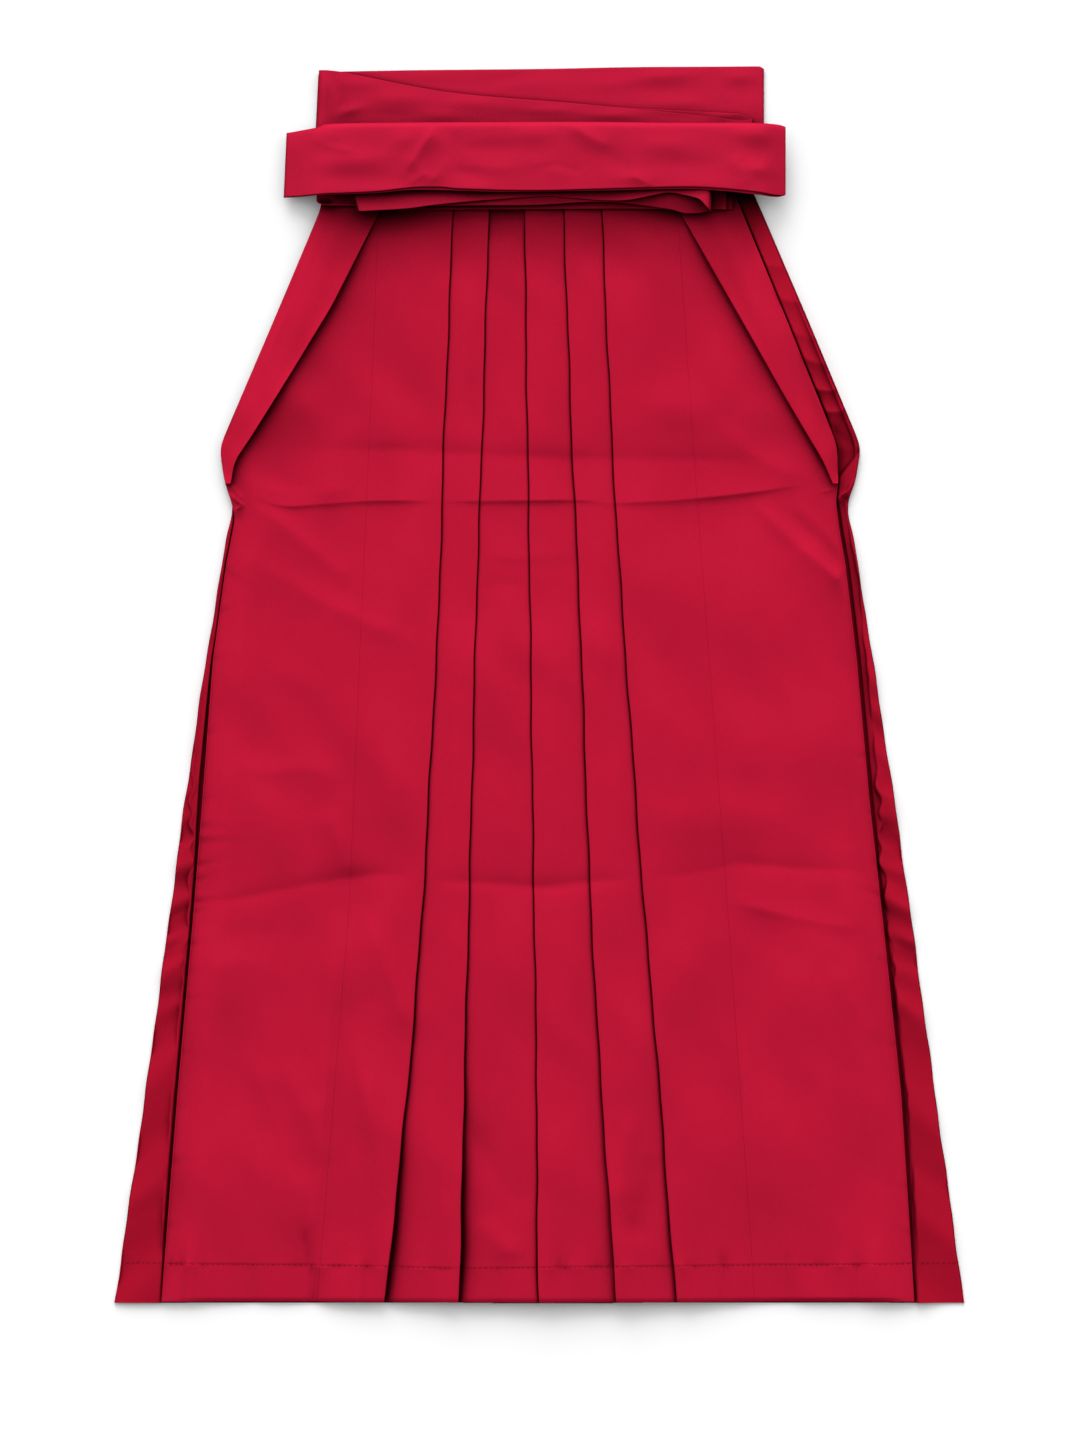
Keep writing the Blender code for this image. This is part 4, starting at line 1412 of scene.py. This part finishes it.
# Folds in the front tie, with the columns of CREASES.
FRONT_TIE_FOLDS = (
    (1.5, 12.0, 3.5, 1.5, ((-84, 466), (-98, 446), (-112, 424))),
    (0.9, 2.0, 5.0, 0.8, ((-92, 426), (-100, 420), (-110, 413))),
    (1.2, 9.0, 4.0, 2.0, ((22, 466), (44, 452), (62, 444))),
    (0.9, 3.0, 2.5, 0.7, ((72, 424), (82, 418), (94, 411))),
    (0.9, 5.0, 6.0, 2.0, ((156, 440), (166, 426), (172, 410))),
    (0.7, 2.5, 4.0, 1.0, ((-118, 415), (-106, 432), (-92, 452), (-86, 462))),
    (0.5, 2.0, 3.0, 0.8, ((-94, 412), (-84, 424), (-78, 440))),
    (-0.6, 4.0, 3.0, 1.5, ((-66, 462), (-70, 440), (-62, 418))),
    (0.8, 6.0, 3.0, 1.5, ((-196, 456), (-176, 446), (-150, 440))),
    (-0.6, 3.0, 5.0, 1.5, ((-10, 424), (14, 430), (38, 422))),
)


class HAKAMA_OT_ties(bpy.types.Operator):
    """Make the front and back ties, folded across the waist"""

    bl_idname = "hakama.ties"
    bl_label = "Ties"

    def execute(self, context):
        thick = sizes().tie_cloth / MM
        self.back_tie(thick)
        self.core(thick)
        self.inner_tie(thick)
        self.front_tie(thick)
        return {"FINISHED"}

    def back_tie(self, thick):
        def drop(x, y, share):
            past = smooth((y - 449) / 16)
            on_band = (BACK_BAND_THICK + GAP + 0.9 - BAND_Z - PITCH) * past
            wrap = -2.0 * fade(x + 184, 6) * smooth((y - BAND_HIGH - 6) / 20)
            held = 2.4 * smooth((y - 470) / 36) * fade(x + 168, 16)
            pulls = 0.45 * np.sin((x + 0.4 * y) / 2.6) * hump(x + 168, 9)
            uneven = held + pulls + hills(x, y, BACK_TIE_HILLS)
            return on_band + wrap + uneven * smooth((y - 458) / 14)

        def top(x, share):
            return mix(back_tie_second(x), back_tie_top(x), way_back(share))

        path = there_and_back(-184.0, 177.0, lambda x: BAND_Z + PITCH, PITCH, 0.0, 110)
        ribbon("tie_back", path, lambda x, share: top(x, share) - TIE_WIDTH, top, thick,
               drop, back_lean)

    def core(self, thick):
        def core_shape(x, y, share):
            hollow = 4.4 * np.exp(-(((x + 178) / 5.0) ** 2 + ((y - 402) / 2.6) ** 2) ** 2)
            return -2.8 * smooth((413 - y) / 12) + 1.2 * fade(np.abs(x + 178) - 5, 8) - hollow

        def core_low(x, share):
            right_end = 2.6 * float(fade(x + 156, 16)) + 3.6 * math.exp(-(x + 185.6) / 2.0)
            return 394.9 + right_end + 0.4 * math.sin(x / 40)

        path = there_and_back(155.0, -185.6, lambda x: CORE_LOW + 0.5, PITCH, 0.5, 110)
        ribbon("tie_core", path, core_low, lambda x, share: CORE_HIGH, thick,
               core_shape, fine=22.0)

    def inner_tie(self, thick):
        def inner_shape(x, y, share):
            lip = 2.2 * np.clip((411 - y) / 18, 0, 1) * fade(x + 60, 110)
            lit_edge = 1.8 * np.clip((412 - y) / 9, 0, 1) * smooth((x - 50) / 40)
            spread_end = 1.6 * smooth((x - 55) / 50)
            deep = 1.6 + 1.6 * smooth((x - 70) / 30)
            sunk = -deep * smooth((406 - y) / 14) * smooth((x + 60) / 60)
            return mix(sunk, lip + lit_edge + spread_end, way_back(share))

        def lean(x, y):
            return -0.27 * (y - 393) * fade(x + 150, 8)

        def low(x, share):
            return mix(inner_tie_under(x), inner_tie_low(x), way_back(share))

        path = there_and_back(-150.5, 142.0, lambda x: INNER_Z + 0.4, PITCH, 1.0, 120)
        ribbon("tie_inner", path, low, lambda x, share: INNER_HIGH, thick,
               inner_shape, lean, 24.0)

    def front_tie(self, thick):
        def height(x):
            right_end = 13.0 * float(fade(x + 212, 42))
            left_end = 6.5 * float(fade(204 - x, 30))
            return TOP_Z - right_end - left_end

        def ripple(x, y, share):
            ends = smooth((x + 206) / 26) * smooth((200 - x) / 16)
            upper_edge = np.array([front_tie_top(at) for at in x[:, 0]])[:, None]
            rolled = -3.4 * np.exp(-(upper_edge - y) / 1.7) * (0.3 + 0.7 * ends)
            folds = sum(crease(x, y, *entry) for entry in FRONT_TIE_FOLDS)
            uneven = (0.9 * hills(x, y, FRONT_TIE_HILLS) + folds) * (0.5 + 0.5 * ends)
            return 0.4 + (3.4 + 0.3 * np.sin(x / 29)) * ends + rolled + uneven

        def lean(x, y):
            return 0.045 * (y - 430) * fade(x + 212, 12)

        def low(x, share):
            return mix(front_tie_under(x), front_tie_low(x), way_back(share))

        path = there_and_back(-212.0, 204.0, height, PITCH, 0.4, 140)
        ribbon("tie_front", path, low, lambda x, share: front_tie_top(x), thick,
               ripple, lean)


# ---- Operators: sewing and stage ---------------------------------------------------

def shown_surface():
    """A search tree over every cloth piece as it shows, to lay sewing on."""
    graph = bpy.context.evaluated_depsgraph_get()
    points, faces = [], []
    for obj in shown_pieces():
        if not obj.name.endswith("_cloth"):
            continue
        shown = obj.evaluated_get(graph)
        mesh = shown.to_mesh()
        start = len(points)
        points += [obj.matrix_world @ vert.co for vert in mesh.vertices]
        faces += [[start + i for i in face.vertices] for face in mesh.polygons]
        shown.to_mesh_clear()
    return BVHTree.FromPolygons(points, faces)


# Hem stitches, in metres, and the rings of one: share of its length, depth, size.
STITCH_RADIUS, STITCH_LIFT = 0.00025, 0.00006
STITCH_RINGS = ((0.0, 1.0, 0.5), (0.2, 0.1, 0.9), (0.5, -0.15, 1.0), (0.8, 0.1, 0.9), (1.0, 1.0, 0.5))
STITCH_SIDES = 5
SEWN_FROM, SEWN_TO = -345.0, 344.0


def add_stitch(shape, start, end):
    """One short round stitch that dips into the cloth at both ends."""
    along = (end - start).normalized()
    side = along.cross(Vector((0, 0, 1))).normalized()
    up = side.cross(along).normalized()
    rings = []
    for share, sink, size in STITCH_RINGS:
        centre = start.lerp(end, share) - up * sink * STITCH_RADIUS
        ring = []
        for k in range(STITCH_SIDES):
            angle = 2 * math.pi * k / STITCH_SIDES
            spoke = side * math.cos(angle) + up * math.sin(angle)
            ring.append(shape.verts.new(centre + spoke * STITCH_RADIUS * size))
        rings.append(ring)
    for a, b in itertools.pairwise(rings):
        for k in range(STITCH_SIDES):
            after = (k + 1) % STITCH_SIDES
            shape.faces.new((a[k], a[after], b[after], b[k]))
    shape.faces.new(reversed(rings[0]))
    shape.faces.new(rings[-1])


class HAKAMA_OT_sewing(bpy.types.Operator):
    """Sew the hem: a row of short stitches through the turned-up cloth"""

    bl_idname = "hakama.sewing"
    bl_label = "Sewing"

    def execute(self, context):
        surface = shown_surface()
        random = np.random.default_rng(sizes().seed)
        shape = bmesh.new()
        length = sizes().stitch / MM
        x = SEWN_FROM
        while x < SEWN_TO:
            here = length * random.uniform(0.75, 1.2)
            ends = []
            for at in (x, x + here):
                y = float(hem_line(np.array(at))) + random.uniform(-0.15, 0.15)
                hit = surface.ray_cast(Vector((at, y, 60)) * MM, Vector((0, 0, -1)))
                ends.append(hit[0])
            x += here + random.uniform(1.2, 2.4)
            # no stitch beside the cloth, or across the step between two layers
            if None in ends or ends[0].z < 0.0004 or abs(ends[0].z - ends[1].z) > 0.0006:
                continue
            lift = Vector((0, 0, STITCH_LIFT))
            add_stitch(shape, ends[0] + lift, ends[1] + lift)
        bmesh.ops.recalc_face_normals(shape, faces=shape.faces)
        mesh = mesh_from(shape, "hem_stitches")
        mesh.shade_smooth()
        finish_piece(add_object("hem_stitches", mesh), sewing_thread())
        return {"FINISHED"}


# A low wide key from the waist end, and a panel near the waist.
KEY_FROM, KEY_ENERGY, KEY_ANGLE = (-0.14, 0.88, 0.44), 1.84, 36.0
PANEL_AT, PANEL_AIM = (0.42, 0.80, 0.95), (0.0, -0.1, 0.0)
PANEL_SIZE, PANEL_ENERGY = (1.6, 0.6), 0.8

# The glow around: the way it brightens, between which shares of that way, and its strengths.
GLOW_WAY, GLOW_SPAN, GLOW_STRENGTHS = (-0.08, 0.99, 0.0), (-0.5, 0.6), (0.22, 1.46)

# The camera looks straight down: the middle of its view and the view's height, in millimetres.
VIEW_MIDDLE, VIEW_HEIGHT = (2.5, -32.9), 1206.7
LENS, SENSOR = 135.0, 36.0

FLOOR_HALF = 6.0           # metres
FLOOR_DROP = 0.0001        # keeps the floor out of the cloth's underside


def aim(obj, way):
    """Turn a light so that it shines along a direction."""
    obj.rotation_euler = way.to_track_quat("-Z", "Y").to_euler()


class HAKAMA_OT_stage(bpy.types.Operator):
    """Set up the plain floor, the soft light and the camera straight above"""

    bl_idname = "hakama.stage"
    bl_label = "Stage"

    def execute(self, context):
        self.floor()
        self.lights()
        self.glow(context.scene)
        self.camera(context.scene)
        return {"FINISHED"}

    def floor(self):
        shape = bmesh.new()
        bmesh.ops.create_grid(shape, x_segments=8, y_segments=8, size=FLOOR_HALF)
        obj = add_object("floor", mesh_from(shape, "floor"))
        obj.location.z = -FLOOR_DROP
        material, shader = new_material("pale_floor", 0.9)
        shader.inputs["Base Color"].default_value = (*colours().floor, 1)
        obj.data.materials.append(material)
        obj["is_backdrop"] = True

    def lights(self):
        sun = bpy.data.lights.new("low_key", "SUN")
        sun.energy = KEY_ENERGY
        sun.angle = math.radians(KEY_ANGLE)
        key = add_object("low_key", sun)
        key.visible_glossy = False
        aim(key, -Vector(KEY_FROM))
        panel = bpy.data.lights.new("near_panel", "AREA")
        panel.shape = "RECTANGLE"
        panel.size, panel.size_y = PANEL_SIZE
        panel.energy = PANEL_ENERGY
        near = add_object("near_panel", panel)
        near.location = PANEL_AT
        aim(near, Vector(PANEL_AIM) - near.location)

    def glow(self, scene):
        """Surroundings that glow most at the waist end and fade away from it."""
        world = bpy.data.worlds.new("studio")
        world.use_nodes = True
        tree = world.node_tree
        around = tree.nodes.new("ShaderNodeTexCoord").outputs["Generated"]
        rise = tree.nodes.new("ShaderNodeMapRange")
        rise.interpolation_type = "SMOOTHSTEP"
        set_inputs(rise, dict(zip(("From Min", "From Max"), GLOW_SPAN)))
        set_inputs(rise, dict(zip(("To Min", "To Max"), GLOW_STRENGTHS)))
        tree.links.new(vector_node(tree, "DOT_PRODUCT", around, GLOW_WAY), rise.inputs["Value"])
        background = tree.nodes["Background"]
        background.inputs["Color"].default_value = (1, 1, 1, 1)
        tree.links.new(rise.outputs["Result"], background.inputs["Strength"])
        scene.world = world
        scene.view_settings.view_transform = "Standard"

    def camera(self, scene):
        data = bpy.data.cameras.new("camera")
        data.sensor_fit = "VERTICAL"
        data.sensor_height = SENSOR
        data.lens = LENS
        data.clip_end = 50.0
        scene.camera = add_object("camera", data)
        scene.camera.location = Vector((*VIEW_MIDDLE, VIEW_HEIGHT * LENS / SENSOR)) * MM


# ---- Sidebar and start -------------------------------------------------------------

OPERATORS = (
    HAKAMA_OT_backs,
    HAKAMA_OT_fronts,
    HAKAMA_OT_side_folds,
    HAKAMA_OT_waistbands,
    HAKAMA_OT_ties,
    HAKAMA_OT_sewing,
    HAKAMA_OT_stage,
)


class HAKAMA_PT_sidebar(bpy.types.Panel):
    """Sizes, colours and making of the hakama"""

    bl_label = "Hakama trousers"
    bl_idname = "HAKAMA_PT_sidebar"
    bl_space_type = "VIEW_3D"
    bl_region_type = "UI"
    bl_category = "Hakama"

    def draw(self, context):
        layout = self.layout
        for group in (context.scene.hakama_sizes, context.scene.hakama_colours):
            box = layout.box()
            for name in group.__annotations__:
                box.prop(group, name)
        for operator in OPERATORS:
            layout.operator(operator.bl_idname)


CLASSES = (HakamaSizes, HakamaColours, *OPERATORS, HAKAMA_PT_sidebar)


def register():
    for item in CLASSES:
        bpy.utils.register_class(item)
    bpy.types.Scene.hakama_sizes = PointerProperty(type=HakamaSizes)
    bpy.types.Scene.hakama_colours = PointerProperty(type=HakamaColours)


def unregister():
    del bpy.types.Scene.hakama_colours
    del bpy.types.Scene.hakama_sizes
    for item in reversed(CLASSES):
        bpy.utils.unregister_class(item)


def main():
    register()
    bpy.ops.hakama.backs()
    bpy.ops.hakama.fronts()
    bpy.ops.hakama.side_folds()
    bpy.ops.hakama.waistbands()
    bpy.ops.hakama.ties()
    bpy.ops.hakama.sewing()
    bpy.ops.hakama.stage()


if __name__ == "__main__":
    main()
